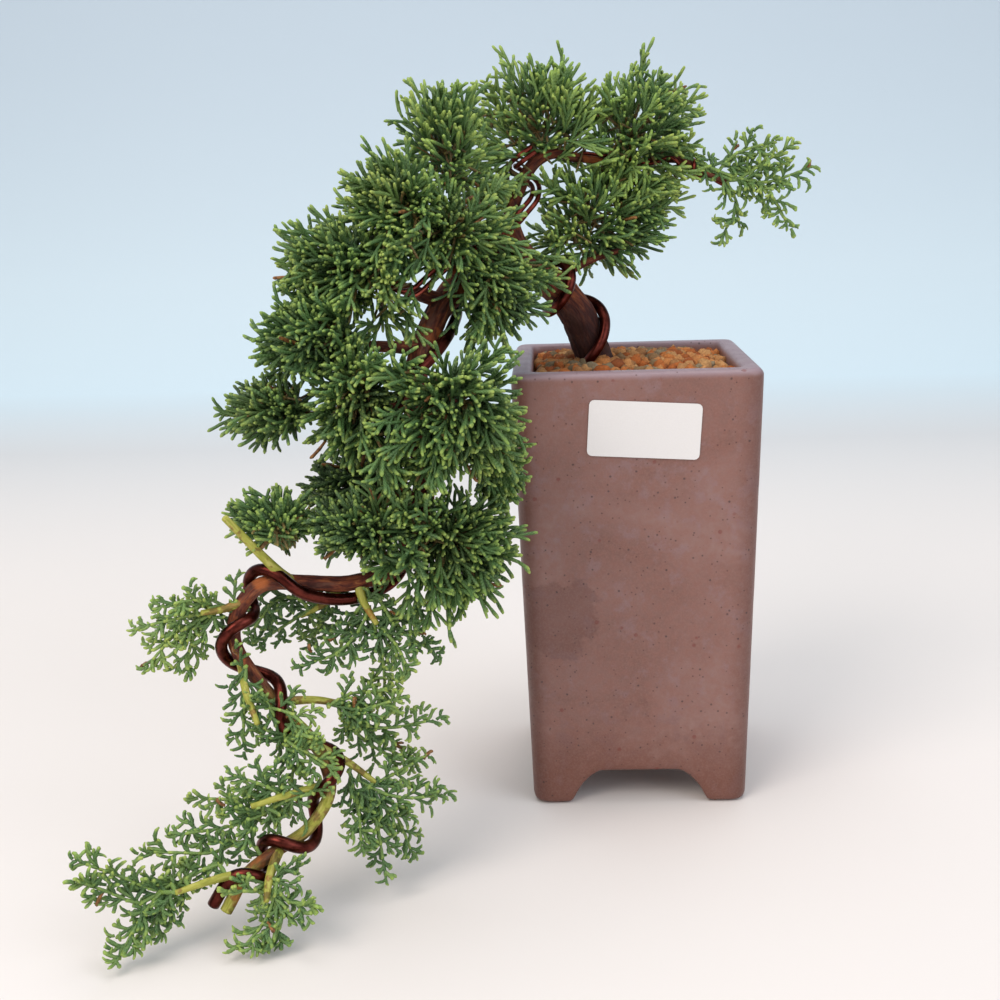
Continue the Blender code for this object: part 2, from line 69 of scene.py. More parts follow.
# The trunk: x, y, z, radius in mm from the pot's foot, and the main wire's turns round it
TRUNK = [
    (-13, 3, SOIL_TOP - 30, 6.0, 0.20), (-14, 1, SOIL_TOP - 8, 8.0, 0.16),
    (-17, 0, SOIL_TOP + 4, 7.6, 0.0), (-24, -4, SOIL_TOP + 21, 7.0, -0.45),
    (-35, -10, SOIL_TOP + 34, 6.4, -1.35), (-48, -18, SOIL_TOP + 41, 6.0, -1.9),
    (-61, -29, SOIL_TOP + 40, 5.6, -2.3), (-72, -42, SOIL_TOP + 32, 5.2, -2.6),
    (-80, -55, SOIL_TOP + 20, 4.8, -2.75), (-85, -67, SOIL_TOP + 4, 4.4, -2.95),
    (-85, -77, 170, 4.1, -3.4), (-82, -85, 150, 3.8, -3.9), (-84, -90, 132, 3.5, -4.3),
    (-94, -94, 120, 3.2, -4.58), (-110, -98, 116, 3.0, -4.74), (-126, -103, 118, 2.9, -4.88),
    (-140, -107, 119, 2.9, -5.22), (-149, -110, 111, 2.8, -5.72), (-151, -113, 99, 2.6, -6.16),
    (-144, -115, 86, 2.5, -6.55), (-133, -118, 73, 2.4, -7.04), (-121, -122, 60, 2.4, -7.55),
    (-117, -128, 47, 2.2, -8.1), (-124, -135, 36, 2.2, -8.65), (-136, -142, 30, 2.3, -9.25),
    (-145, -147, 24, 2.3, -10.05), (-152, -152, 13, 2.2, -10.25)]

# Branches, from the trunk's line outwards: x, y, z, radius in mm
BRANCHES = {
    "apex_branch": [(-42, -14, 226, 4.4), (-47, -12, 235, 3.8), (-49, -8, 245, 3.2),
                    (-46, -5, 254, 2.8), (-42, -2, 262, 2.6), (-37, 0, 267, 2.4),
                    (-30, 2, 269, 2.0), (-22, 3, 267, 1.8)],
    "crown_left_branch": [(-53, -22, 226, 3.0), (-62, -25, 240, 2.0), (-69, -30, 252, 1.6),
                          (-74, -36, 264, 1.2)],
    "right_low_branch": [(-33, -8, 217, 2.6), (-24, 0, 222, 2.0), (-14, 3, 226, 1.5),
                         (-4, 3, 229, 1.1)],
    "upper_left_branch": [(-66, -36, 222, 3.0), (-76, -47, 233, 2.4), (-84, -56, 243, 1.7),
                          (-90, -62, 250, 1.2)],
    "left_top_branch": [(-75, -46, 214, 3.0), (-88, -58, 220, 2.4), (-101, -67, 227, 1.8),
                        (-112, -71, 231, 1.2)],
    "left_branch": [(-82, -60, 198, 2.8), (-95, -71, 200, 2.2), (-108, -79, 202, 1.8),
                    (-120, -83, 203, 1.2)],
    "left_low_branch": [(-85, -72, 180, 2.6), (-101, -79, 178, 2.0), (-118, -84, 177, 1.6),
                        (-136, -86, 178, 1.1)],
    "centre_branch": [(-85, -75, 174, 2.6), (-80, -88, 178, 2.0), (-74, -97, 182, 1.6),
                      (-68, -104, 184, 1.1)],
    "centre_right_branch": [(-83, -82, 158, 2.4), (-71, -82, 158, 1.8), (-60, -79, 160, 1.5),
                            (-50, -77, 162, 1.0)],
    "dark_branch": [(-83, -86, 145, 2.2), (-93, -82, 146, 1.7), (-106, -77, 148, 1.1)],
    "low_centre_branch": [(-83, -89, 136, 2.2), (-75, -92, 133, 1.6), (-67, -94, 130, 1.1)],
    "low_left_branch": [(-92, -94, 121, 2.0), (-99, -103, 130, 1.6), (-110, -109, 138, 1.2)],
    "right_spray_branch": [(-25, 2.5, 268, 1.8), (-20, 3, 267, 1.7), (-7, 8, 265, 1.6), (9, 10, 265, 1.5),
                           (21, 6, 265, 1.4), (30, 4, 260, 1.3), (40, 3, 256, 1.0)]}

# Green stems of the cascade's sprays, and the stub of a cut branch
STEMS = {
    "hanging_stem": [(-107, -97, 116, 1.8), (-105, -101, 110, 1.4), (-100, -104, 102, 1.0)],
    "hanging_left_stem": [(-113, -98, 116, 1.6), (-120, -96, 108, 1.3), (-130, -93, 102, 1.0)],
    "left_spray_stem": [(-148, -110, 113, 1.5), (-155, -115, 112, 1.3), (-161, -118, 112, 1.0)],
    "cascade_left_stem": [(-149, -114, 92, 1.5), (-146, -123, 84, 1.4), (-141, -130, 74, 1.0)],
    "cascade_right_stem": [(-136, -117, 77, 1.6), (-122, -113, 76, 1.4), (-108, -109, 71, 1.0)],
    "cascade_low_stem": [(-122, -121, 61, 1.6), (-112, -120, 55, 1.4), (-102, -117, 45, 1.0)],
    "low_left_stem": [(-118, -127, 49, 1.5), (-130, -137, 50, 1.3), (-142, -144, 49, 1.0)],
    "bottom_stem": [(-134, -141, 31, 1.6), (-136, -151, 25, 1.5), (-136, -158, 20, 1.0)],
    "bottom_left_stem": [(-144, -146, 25, 1.5), (-154, -155, 27, 1.4), (-166, -162, 26, 1.0)],
    "cut_stub": [(-131, -105, 119, 2.0), (-138, -112, 130, 1.7), (-150, -118, 147, 1.3)]}

# The line between the two thin wires: x, y, z in mm
THIN_LINE = [(-92, -57, 225), (-96, -58, 229), (-99, -63, 230), (-99, -68, 227), (-95, -70, 222),
             (-89, -70, 219), (-84, -67, 220), (-79, -62, 224), (-74, -57, 228), (-68, -48, 233),
             (-61, -40, 236), (-54, -32, 239), (-48, -22, 242), (-43, -15, 247), (-39, -9, 252),
             (-39, -1, 257), (-44, 4, 261), (-48, -1, 264), (-45, -7, 267), (-39, -6, 271)]
SPRAY_TURNS = (0.1, 0.1, -0.1, -0.1, -1.4, -1.4)      # the spray wire's turns round its branch

# How a spray of each habit grows, in mm and degrees
HABITS = {
    "whip": {"pitch": 2.9, "lean": (12, 32), "reach": (8.0, 14.5), "width": 1.42,
             "fork_reach": (4.5, 8.5), "fork_turn": (16, 32), "start": 0.2, "flat": 0.35, "spray": (9, 16),
             "limbs": 13, "limb_width": 1.4},
    "fan": {"pitch": 3.0, "lean": (30, 46), "reach": (3.6, 6.4), "width": 1.55,
            "fork_reach": (2.2, 3.4), "fork_turn": (28, 46), "start": 0.18, "flat": 0.15,
            "spray": (6.5, 11.5), "limb_width": 1.7, "part": (32, 50), "gap": 4.0}}

# Foliage: each pad's painted light and shade, as how light its leaves are painted, and, where it is a full
# one of whips, its number of sprays and the way that it grows. The order gives each pad its seed.
FOLIAGE = {
    "crown_centre": (1.4, 58, (0.0, 0.0, 0.8)),
    "crown_right": (1.4, 66, (0.7, 0.0, 0.35)),
    "crown_left": (1.25, 50, (-0.3, 0.0, 0.7)),
    "crown_front": (1.0, 46, (-0.5, -0.4, 0.2)),
    "front_hanging": (0.85, 40, (0.3, -0.2, -0.7)),
    "right_low": (1.2, 62, (0.6, -0.1, -0.2)),
    "right_spray": (1.3,),
    "upper_left": (0.95, 84, (-0.7, -0.2, 0.4)),
    "left_top": (0.95, 92, (-0.8, -0.2, 0.1)),
    "left": (0.85, 96, (-0.8, -0.2, -0.1)),
    "left_tip": (0.8, 62, (-0.9, 0.0, -0.3)),
    "centre_left": (0.85, 80, (-0.3, -0.5, -0.6)),
    "centre": (0.9, 100, (0.2, -0.5, -0.4)),
    "centre_right": (0.9, 50, (0.7, -0.2, -0.5)),
    "low_centre": (0.9, 92, (0.6, -0.3, -0.5)),
    "dark": (0.5, 74, (-0.5, 0.0, -0.3)),
    "low_left": (0.7, 62, (-0.7, -0.3, 0.1)),
    "low_left_tip": (1.0, 52, (-0.9, 0.0, 0.3)),
    "hanging": (0.9,),
    "hanging_left": (0.9,),
    "left_spray": (1.25,),
    "cascade_left": (1.15,),
    "cascade_right": (1.15,),
    "cascade_low": (1.15,),
    "low_left_spray": (1.15,),
    "bottom": (1.2,),
    "bottom_left": (1.2,)}
FILL = 1.08                  # how far the sprays fill their pad, past its own size
LONE_SPRAYS = 7              # sprays at the end of a lone limb
LOWEST_TIP = 4.2             # mm above the surface that the pot stands on
DEAD_SHOOTS = 0.012          # the share of shoots that have dried brown
FORKLESS_SHOOTS = 0.35       # the share of shoots without a fork
TWIG_STEP = 5.0              # mm between two points of a twig
SHORTEST_LINK = 1.5          # mm; a spray nearer than this to its limb needs no twig to it
GOLDEN_TURN = math.pi * (3 - math.sqrt(5))
FIRST_SEED = 40
SHOOT_SIDES = 5
SHOOT_BENDS = (0.0, 0.9, -0.8, 1.7)      # how far each shape of shoot bows, in its own widths
SCALE_LONG = 1.3             # mm along a shoot from one pair of scale leaves to the next
GRANULE_SHAPES = 5
SMOOTH = {"interpolation_type": "SMOOTHSTEP"}

# Limbs that close a pad up with its neighbours, or hang across the trunk: where each one ends
LONE_LIMBS = {
    "crown_centre": [(-58, -4, 270), (-64, -8, 284), (-56, -6, 256), (-16, 4, 286), (-18, 2, 272)],
    "crown_right": [(-12, 4, 262), (2, 6, 256), (20, 8, 258), (-14, 0, 284)],
    "crown_left": [(-60, -28, 262), (-58, -26, 250), (-64, -34, 284)],
    "crown_front": [(-60, -48, 228), (-50, -44, 234), (-72, -62, 228), (-84, -68, 228), (-56, -36, 250)],
    "front_hanging": [(-66, -60, 212), (-44, -46, 216), (-38, -34, 226), (-58, -56, 200)],
    "right_low": [(-30, -3, 250), (-18, -4, 254), (-2, 0, 258), (-26, -8, 234), (12, 4, 252)],
    "upper_left": [(-84, -80, 238), (-94, -82, 234)],
    "left_top": [(-98, -90, 222), (-88, -86, 214), (-106, -90, 212)],
    "centre": [(-84, -112, 196), (-86, -114, 176), (-82, -112, 158)],
    "centre_left": [(-90, -114, 196), (-92, -114, 166)],
    "low_centre": [(-84, -112, 142), (-88, -112, 126), (-80, -110, 112)],
    "low_left": [(-92, -114, 152), (-90, -112, 134)]}

# Plumes of the young cascade and of the right spray: each one's line, from the stem outwards
PLUMES = {
    "right_spray": [
        [(28, 3, 264), (42, 2, 258), (56, 1, 255), (70, 0, 259)],
        [(37, 3, 260), (44, 0, 267), (54, -4, 270)],
        [(39, 3, 258), (45, 4, 246), (41, 6, 237)],
        [(51, 2, 256), (60, 3, 248), (64, 4, 241)],
        [(46, 2, 257), (55, 0, 263), (62, -2, 267)]],
    "left_spray": [
        [(-150, -112, 114), (-159, -115, 110), (-170, -117, 105), (-179, -120, 96)],
        [(-155, -113, 111), (-166, -115, 110), (-179, -118, 108)],
        [(-159, -114, 109), (-166, -115, 101), (-168, -116, 93)],
        [(-156, -113, 111), (-163, -118, 117), (-169, -122, 117)]],
    "hanging_left": [
        [(-113, -97, 111), (-123, -95, 107), (-134, -94, 100), (-143, -92, 94)],
        [(-129, -98, 110), (-138, -97, 110), (-147, -96, 99)],
        [(-119, -96, 108), (-122, -93, 101), (-126, -90, 93)]],
    "hanging": [
        [(-103, -100, 107), (-107, -104, 99), (-115, -108, 92), (-122, -112, 91)],
        [(-102, -101, 103), (-99, -103, 91), (-98, -106, 80)],
        [(-98, -100, 107), (-90, -99, 96), (-82, -98, 90)],
        [(-101, -101, 102), (-93, -107, 95), (-89, -114, 90)],
        [(-105, -100, 109), (-111, -98, 101), (-115, -96, 91)],
        [(-99, -99, 110), (-95, -102, 103), (-87, -104, 106)]],
    "cascade_left": [
        [(-146, -120, 92), (-147, -122, 80), (-148, -124, 66)],
        [(-142, -120, 84), (-136, -123, 74), (-132, -125, 65), (-129, -128, 60)],
        [(-138, -122, 77), (-129, -126, 76), (-123, -130, 71)],
        [(-132, -126, 64), (-130, -127, 55), (-132, -128, 47)],
        [(-132, -126, 66), (-124, -130, 63), (-117, -134, 60)]],
    "cascade_right": [
        [(-118, -114, 74), (-110, -112, 78), (-99, -110, 78)],
        [(-114, -113, 69), (-103, -111, 64), (-93, -108, 63), (-84, -106, 64)],
        [(-111, -113, 66), (-103, -108, 55), (-92, -104, 47)],
        [(-114, -114, 71), (-106, -116, 73), (-95, -118, 77)]],
    "cascade_low": [
        [(-108, -119, 47), (-98, -117, 40), (-89, -114, 37), (-81, -112, 37)],
        [(-105, -119, 44), (-102, -120, 33), (-100, -122, 17)],
        [(-104, -118, 42), (-95, -115, 30), (-91, -112, 16)],
        [(-111, -120, 51), (-108, -123, 40), (-107, -126, 27)],
        [(-104, -118, 44), (-96, -113, 46), (-89, -108, 48)]],
    "low_left_spray": [
        [(-122, -134, 49), (-131, -137, 48), (-139, -140, 44), (-150, -143, 41), (-165, -146, 40)],
        [(-131, -136, 48), (-137, -139, 54), (-143, -142, 58)],
        [(-141, -139, 42), (-148, -142, 50), (-156, -146, 53)],
        [(-145, -142, 35), (-156, -145, 32), (-166, -147, 33), (-176, -150, 35)],
        [(-128, -136, 48), (-135, -134, 46), (-143, -132, 45)]],
    "bottom_left": [
        [(-154, -148, 29), (-165, -152, 26), (-173, -157, 24), (-183, -161, 31), (-194, -166, 39)],
        [(-169, -156, 26), (-179, -160, 21), (-187, -164, 27), (-195, -168, 33)],
        [(-172, -158, 24), (-177, -161, 19), (-182, -165, 12), (-185, -168, 5)],
        [(-165, -154, 27), (-171, -156, 20), (-177, -158, 11)]],
    "bottom": [
        [(-133, -152, 25), (-136, -157, 14), (-143, -162, 5)],
        [(-134, -152, 23), (-129, -155, 18), (-123, -158, 19)],
        [(-134, -150, 24), (-139, -153, 21), (-144, -156, 23)],
        [(-135, -154, 19), (-131, -157, 14), (-134, -160, 6)]]}


# ---------------------------------------------------------------- helpers

def linear(text):
    """An sRGB hex colour as the linear values that a shader takes."""
    parts = [int(text[i:i + 2], 16) / 255 for i in (1, 3, 5)]
    return (*((p / 12.92 if p <= 0.04045 else ((p + 0.055) / 1.055) ** 2.4) for p in parts), 1.0)


def node(tree, kind, inputs=(), out=0, stops=(), **settings):
    """Add a node with its settings and links, and return one of its outputs.

    A kind without a family is a shader node, and its second word is its operation. The inputs go in
    order, or by name or index, and a hex colour is made linear. Stops are a ramp's (place, colour) rows.
    """
    kind, _, operation = kind.partition(" ")
    made = tree.nodes.new(kind if "Node" in kind else "ShaderNode" + kind)
    if operation:
        made.operation = operation
    for key, value in settings.items():
        setattr(made, key, value)
    for key, value in (inputs.items() if isinstance(inputs, dict) else enumerate(inputs)):
        if isinstance(value, bpy.types.NodeSocket):
            tree.links.new(value, made.inputs[key])
        else:
            colour = isinstance(value, str) and value.startswith("#")
            made.inputs[key].default_value = linear(value) if colour else value
    while stops and len(made.color_ramp.elements) < len(stops):
        made.color_ramp.elements.new(0.5)
    for element, (place, colour) in zip(made.color_ramp.elements if stops else (), stops):
        element.position = place
        element.color = linear(colour)
    return made.outputs[out] if made.outputs else None


def new_material(name):
    """An empty material, and the function that adds a node to it."""
    made = bpy.data.materials.new(name)
    made.use_nodes = True
    made.node_tree.nodes.clear()
    return made, partial(node, made.node_tree)


def grain(vector, size, detail=3.0, roughness=0.55, distortion=0.0, unit=MM):
    """The inputs of a noise whose features are about size mm wide; unit is 1 where a vector is in mm."""
    return {"Vector": vector, "Scale": 1 / (size * unit), "Detail": detail, "Roughness": roughness,
            "Distortion": distortion}


def coats(add, colour, rows):
    """Colours laid over a first one, as (share, colour) rows; a tuple is a share's smooth step."""
    for share, over in rows:
        if isinstance(share, tuple):
            share = add("MapRange", share, **SMOOTH)
        colour = add("Mix", {0: share, 6: colour, 7: over}, 2, data_type="RGBA")
    return colour


def shade(add, looks, height=None, depth=0.0, strength=1.0):
    """The Principled shader and the output; a height stands out by depth mm."""
    if height:
        looks["Normal"] = add("Bump", {"Height": height, "Distance": depth * MM, "Strength": strength})
    add("OutputMaterial", {"Surface": add("BsdfPrincipled", looks)})


def object_from(mesh, name, material_list):
    """A smooth mesh as an object at the origin, with its materials."""
    mesh.name = name
    mesh.materials.clear()
    for item in material_list:
        mesh.materials.append(item)
    made = bpy.data.objects.new(name, mesh)
    bpy.context.scene.collection.objects.link(made)
    mesh.shade_smooth()
    return made


def evaluated_mesh(source):
    """The plain mesh that an object's modifiers make; the object itself is removed."""
    bpy.context.view_layer.update()
    made = bpy.data.meshes.new_from_object(source.evaluated_get(bpy.context.evaluated_depsgraph_get()))
    bpy.data.objects.remove(source)
    return made


def stands_for(piece, slot_name, *nodes):
    """The piece rides on the one body and replaces CAD nodes; slot_name is not used."""
    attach(piece, "root")
    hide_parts(*nodes)


def smooth_line(knots, step):
    """A Catmull-Rom line through the knots, with a point about every step mm."""
    before = tuple(2 * a - b for a, b in zip(knots[0], knots[1]))
    after = tuple(2 * a - b for a, b in zip(knots[-1], knots[-2]))
    rows = [before, *knots, after]
    line = []
    for i in range(1, len(rows) - 2):
        count = max(1, round((Vector(rows[i + 1][:3]) - Vector(rows[i][:3])).length / step))
        for k in range(count):
            t = k / count
            line.append(tuple(
                0.5 * (2 * b + (c - a) * t + (2 * a - 5 * b + 4 * c - d) * t ** 2
                       + (3 * b - a - 3 * c + d) * t ** 3)
                for a, b, c, d in zip(*rows[i - 1:i + 3])))
    line.append(tuple(knots[-1]))
    return line


def heading(places, i, reach):
    """The way that a line runs at one of its places, over a number of places on both sides."""
    return (places[min(i + reach, len(places) - 1)] - places[max(i - reach, 0)]).normalized()


def wound(line, wire):
    """The line of a wire round a branch whose line has (x, y, z, radius, turns)."""
    dense = smooth_line(line, 0.5)
    places = [Vector(point[:3]) for point in dense]
    rings = []
    for i, place in enumerate(places):
        along = heading(places, i, 12)
        front = (VIEWER - along * VIEWER.dot(along)).normalized()
        angle = dense[i][4] * math.tau
        out = front * math.cos(angle) + front.cross(along) * math.sin(angle)
        rings.append(place + out * (dense[i][3] + wire / 2 + WIRE_LIFT))
    kept = [rings[0]]
    for ring in rings:
        if (ring - kept[-1]).length >= FINE_STEP:
            kept.append(ring)
    return [(*place, wire / 2) for place in kept]


def beside(line, radius, shift):
    """A line moved sideways, across its run and the way to the viewer, by shift mm."""
    places = [Vector(point) for point in line]
    return [(*(place + heading(places, i, 6).cross(VIEWER).normalized() * shift), radius)
            for i, place in enumerate(places)]


def tube_mesh(line, sides, cap_dome, surface=None):
    """A closed tube along (x, y, z, radius) in mm from the pot's foot.

    surface(run, angle, radius) gives the radius there. The mesh keeps where each point is on the
    bark: across in x and y and along in z, in mm. The far cap has the second material.
    """
    places = [Vector(point[:3]) for point in line]
    ways = [(b - a).normalized() for a, b in zip(places, places[1:])]
    ways.append(ways[-1])
    across = ways[0].orthogonal().normalized()
    points, skin, faces = [], [], []
    run = 0.0
    for i, (place, way) in enumerate(zip(places, ways)):
        across = (across - way * across.dot(way)).normalized()
        third = way.cross(across)
        run += (place - places[i - 1]).length if i else 0.0
        for k in range(sides):
            angle = math.tau * k / sides
            radius = surface(run, angle, line[i][3]) if surface else line[i][3]
            points.append(place + (across * math.cos(angle) + third * math.sin(angle)) * radius)
            skin.append((line[i][3] * math.cos(angle), line[i][3] * math.sin(angle), run))
    for i in range(len(places) - 1):
        for k in range(sides):
            a, b = i * sides + k, i * sides + (k + 1) % sides
            faces.append((a, b, b + sides, a + sides))
    caps = len(faces)
    for first, way, turned in ((0, -ways[0], True), ((len(places) - 1) * sides, ways[-1], False)):
        radius = line[0 if turned else -1][3]
        middle = sum((points[first + k] for k in range(sides)), Vector()) / sides
        inner = len(points)
        for k in range(sides):
            points.append(middle + (points[first + k] - middle) * 0.7 + way * radius * cap_dome * 0.6)
            skin.append(skin[first + k])
        points.append(middle + way * radius * cap_dome)
        skin.append((0.0, 0.0, skin[first][2]))
        for k in range(sides):
            a, b = first + k, first + (k + 1) % sides
            c, d = inner + (k + 1) % sides, inner + k
            faces.append((b, a, d, c) if turned else (a, b, c, d))
            faces.append((c, d, inner + sides) if turned else (d, c, inner + sides))
    mesh = bpy.data.meshes.new("tube")
    mesh.from_pydata([POT_FOOT + point * MM for point in points], [], faces)
    mesh.attributes.new("skin", "FLOAT_VECTOR", "POINT").data.foreach_set(
        "vector", numpy.array(skin, numpy.float32).ravel())
    index = numpy.zeros(len(faces), numpy.int32)
    index[caps + 2 * sides:] = 1
    mesh.polygons.foreach_set("material_index", index)
    return mesh


# ---------------------------------------------------------------- materials

def stoneware():
    """Unglazed stoneware, pressed in a mould and fired in reduction: a dry, mauve-brown skin, full of
    iron specks, that burns redder and darker where it is thin: at the corners and the feet."""
    made, add = new_material("fired_stoneware")
    place = add("TexCoord", out="Object")
    parts = add("SeparateXYZ", (place,)).node.outputs
    rise = parts["Z"]
    cloud = add("TexNoise", grain(place, 45, 4, 0.6, 0.6))
    patch = add("TexNoise", grain(place, 9, 5, 0.65))
    mottle = add("TexNoise", grain(place, 3.2, 4, 0.7))
    fine = add("TexNoise", grain(place, 0.8, 3, 0.6))
    at_foot = add("Math MULTIPLY_ADD", (patch, -0.05, rise))
    rim_low, rim_high = POT_HIGH.z - 3.5 * MM, POT_HIGH.z - 0.5 * MM
    # The nearer of the two sides' distances from the middle is long only at a corner
    sides = [add("Math ABSOLUTE", (add("Math SUBTRACT", (parts[axis], middle)),))
             for axis, middle in zip("XY", POT_FOOT)]
    half = add("Math MULTIPLY_ADD", (rise, WALL_SPREAD, HALF_FOOT))
    corner = add("Math DIVIDE", (add("Math MINIMUM", sides), half))
    corner = add("Math MULTIPLY_ADD", (mottle, 0.12, corner))
    under_rim = add("MapRange", (rise, rim_low, rim_high, 1.0, 0.0), **SMOOTH)
    thin = add("MapRange", (corner, 0.83, 1.05, 0.0, 0.55), **SMOOTH)
    thin = add("Math MULTIPLY", (thin, under_rim))
    stain_at = (POT_FOOT.x - 33 * MM, POT_LOW.y, 84 * MM)
    away = add("VectorMath DISTANCE", (place, stain_at), "Value")
    stain = add("Math MULTIPLY_ADD", (patch, -0.03, away))
    body = add("ValToRGB", (cloud,), stops=[(0.30, "#764f45"), (0.52, "#845e56"), (0.72, "#8f6d66")])
    body = coats(add, body, [
        ((mottle, 0.38, 0.62, 0.0, 0.5), "#85564a"),
        ((patch, 0.50, 0.68, 0.0, 0.4), "#8a7074"),
        ((at_foot, -0.012, 0.022, 0.62, 0.0), "#66341f"),
        # Painted highlight: the rim's top 3.5 mm is painted a lighter mauve-grey
        ((rise, rim_low, rim_high, 0.0, 0.75), "#92808a"),
        (thin, "#4f2519"),
        ((stain, 0.0, 0.004, 0.42, 0.0), "#5e3329")])
    # Iron specks: mm between two, least and most size as a share of that, colour and strength
    for gap, least, most, colour, strength in (
            (2.3, 0.10, 0.20, "#46231b", 0.72), (3.7, 0.09, 0.16, "#2e1c1c", 0.7),
            (8.0, 0.07, 0.15, "#70281a", 0.6)):
        speck = add("TexVoronoi", {"Vector": place, "Scale": 1 / (gap * MM)}, feature="F1").node.outputs
        dots = add("MapRange", (speck["Distance"], least, most, 1.0, 0.0), **SMOOTH)
        chance = add("SeparateColor", (speck["Color"],), "Red")
        some = add("MapRange", (chance, 0.50, 0.62, 0.0, strength), **SMOOTH)
        body = coats(add, body, [(add("Math MULTIPLY", (dots, some)), colour)])
    body = coats(add, body, [((fine, 0.35, 0.75, 0.0, 0.14), "#a68880")])
    coarse = add("Math MULTIPLY", (patch, 0.65))
    shade(add, {"Base Color": body, "Roughness": add("MapRange", (patch, 0.3, 0.7, 0.38, 0.52), **SMOOTH),
                "IOR": 1.52, "Specular IOR Level": 0.5},
          add("Math MULTIPLY_ADD", (fine, 0.35, coarse)), 0.35, 0.5)
    return made


def fired_clay():
    """Fired clay granules, sieved and tumbled: matt, porous, orange-brown with a few grey ones."""
    made, add = new_material("fired_clay_granules")
    tone = add("Attribute", out="Fac", attribute_name="tone")
    colour = add("ValToRGB", (tone,), stops=[
        (0.0, "#8a4b28"), (0.2, "#b16330"), (0.42, "#bf773f"), (0.64, "#c39562"), (0.78, "#a87447"),
        (0.88, "#77694f"), (1.0, "#8d8168")])
    pores = add("TexNoise", grain(add("TexCoord", out="Object"), 0.9, 4, 0.7))
    colour = coats(add, colour, [((pores, 0.35, 0.7, 0.0, 0.45), "#633a24")])
    shade(add, {"Base Color": colour, "Roughness": 0.92, "Specular IOR Level": 0.25}, pores, 0.5, 0.8)
    return made


def juniper_bark(name, young):
    """Juniper bark, peeling lengthwise in thin flakes: red-brown strips over orange new bark. On
    young wood it is smooth and yellow-green, with brown only in patches."""
    made, add = new_material(name)
    skin = add("Attribute", out="Vector", attribute_name="skin")
    place = add("TexCoord", out="Object")
    parts = add("SeparateXYZ", (place,)).node.outputs
    long = add("Mapping", {"Vector": skin, "Scale": (1.0, 1.0, 0.22)})
    strips = add("TexNoise", grain(long, 1.5, 4, 0.62, 0.5, unit=1.0))
    flakes = add("TexNoise", grain(long, 4.2, 3, 0.6, 0.9, unit=1.0))
    fibres = add("TexNoise", grain(long, 0.45, 2, 0.5, unit=1.0))
    fresh = add("TexNoise", grain(place, 14))
    # The trunk's base is darker just over the soil
    dark_base = add("MapRange", (parts["Z"], (SOIL_TOP + 12) * MM, (SOIL_TOP + 34) * MM,
                               0.0 if young else 0.78, 0.0), **SMOOTH)
    over_pot = add("Math GREATER_THAN", (parts["X"], POT_LOW.x + 20 * MM))
    patches = add("MapRange", (add("TexNoise", grain(place, 7, 3, 0.6)), 0.44, 0.60, 0.0, 1.0), **SMOOTH)
    if young:
        green = add("MapRange", (patches, 0.55, 1.0, 1.0, 0.35), **SMOOTH)
    else:
        clear = add("Math SUBTRACT", (1.25, patches))
        given = add("Attribute", out="Fac", attribute_name="green")
        green = add("Math MULTIPLY", (given, clear), use_clamp=True)
    colour = add("ValToRGB", (strips,), stops=[
        (0.32, "#2c110d"), (0.47, "#542318"), (0.60, "#7d4026"), (0.76, "#a8703f")])
    colour = coats(add, colour, [
        ((flakes, 0.50, 0.66, 0.0, 0.7), "#6a4638"),
        ((fresh, 0.56, 0.66, 0.0, 0.6), "#b9662f"),
        (add("Math MULTIPLY", (dark_base, over_pot)), "#2a100d"),
        (green, add("ValToRGB", (strips,), stops=[(0.3, "#7d7f2b"), (0.5, "#a3a243"), (0.7, "#bdb565")]))])
    height = add("Math MULTIPLY_ADD", (flakes, 0.8, strips))
    height = add("Math MULTIPLY_ADD", (fibres, 0.25, height))
    depth, strength, rough = (0.25, 0.5, 0.62) if young else (0.7, 0.9, 0.78)
    shade(add, {"Base Color": colour, "Roughness": rough, "Specular IOR Level": 0.35},
          height, depth, strength)
    return made


def anodised_wire(name, dark, light):
    """Anodised aluminium wire, drawn and coiled by hand: a brown film over bright metal, with soft
    long highlights, faint draw lines and a few rubbed places."""
    made, add = new_material(name)
    skin = add("Attribute", out="Vector", attribute_name="skin")
    long = add("Mapping", {"Vector": skin, "Scale": (1.0, 1.0, 0.05)})
    lines = add("TexNoise", grain(long, 0.35, 2, 0.5, unit=1.0))
    rubs = add("TexNoise", grain(skin, 5, 4, 0.6, unit=1.0))
    rough = add("MapRange", (rubs, 0.3, 0.7, 0.26, 0.40), **SMOOTH)
    colour = coats(add, dark, [((rubs, 0.40, 0.66, 0.0, 1.0), light)])
    shade(add, {"Base Color": colour, "Metallic": 1.0, "Roughness": rough}, lines, 0.05, 0.35)
    return made


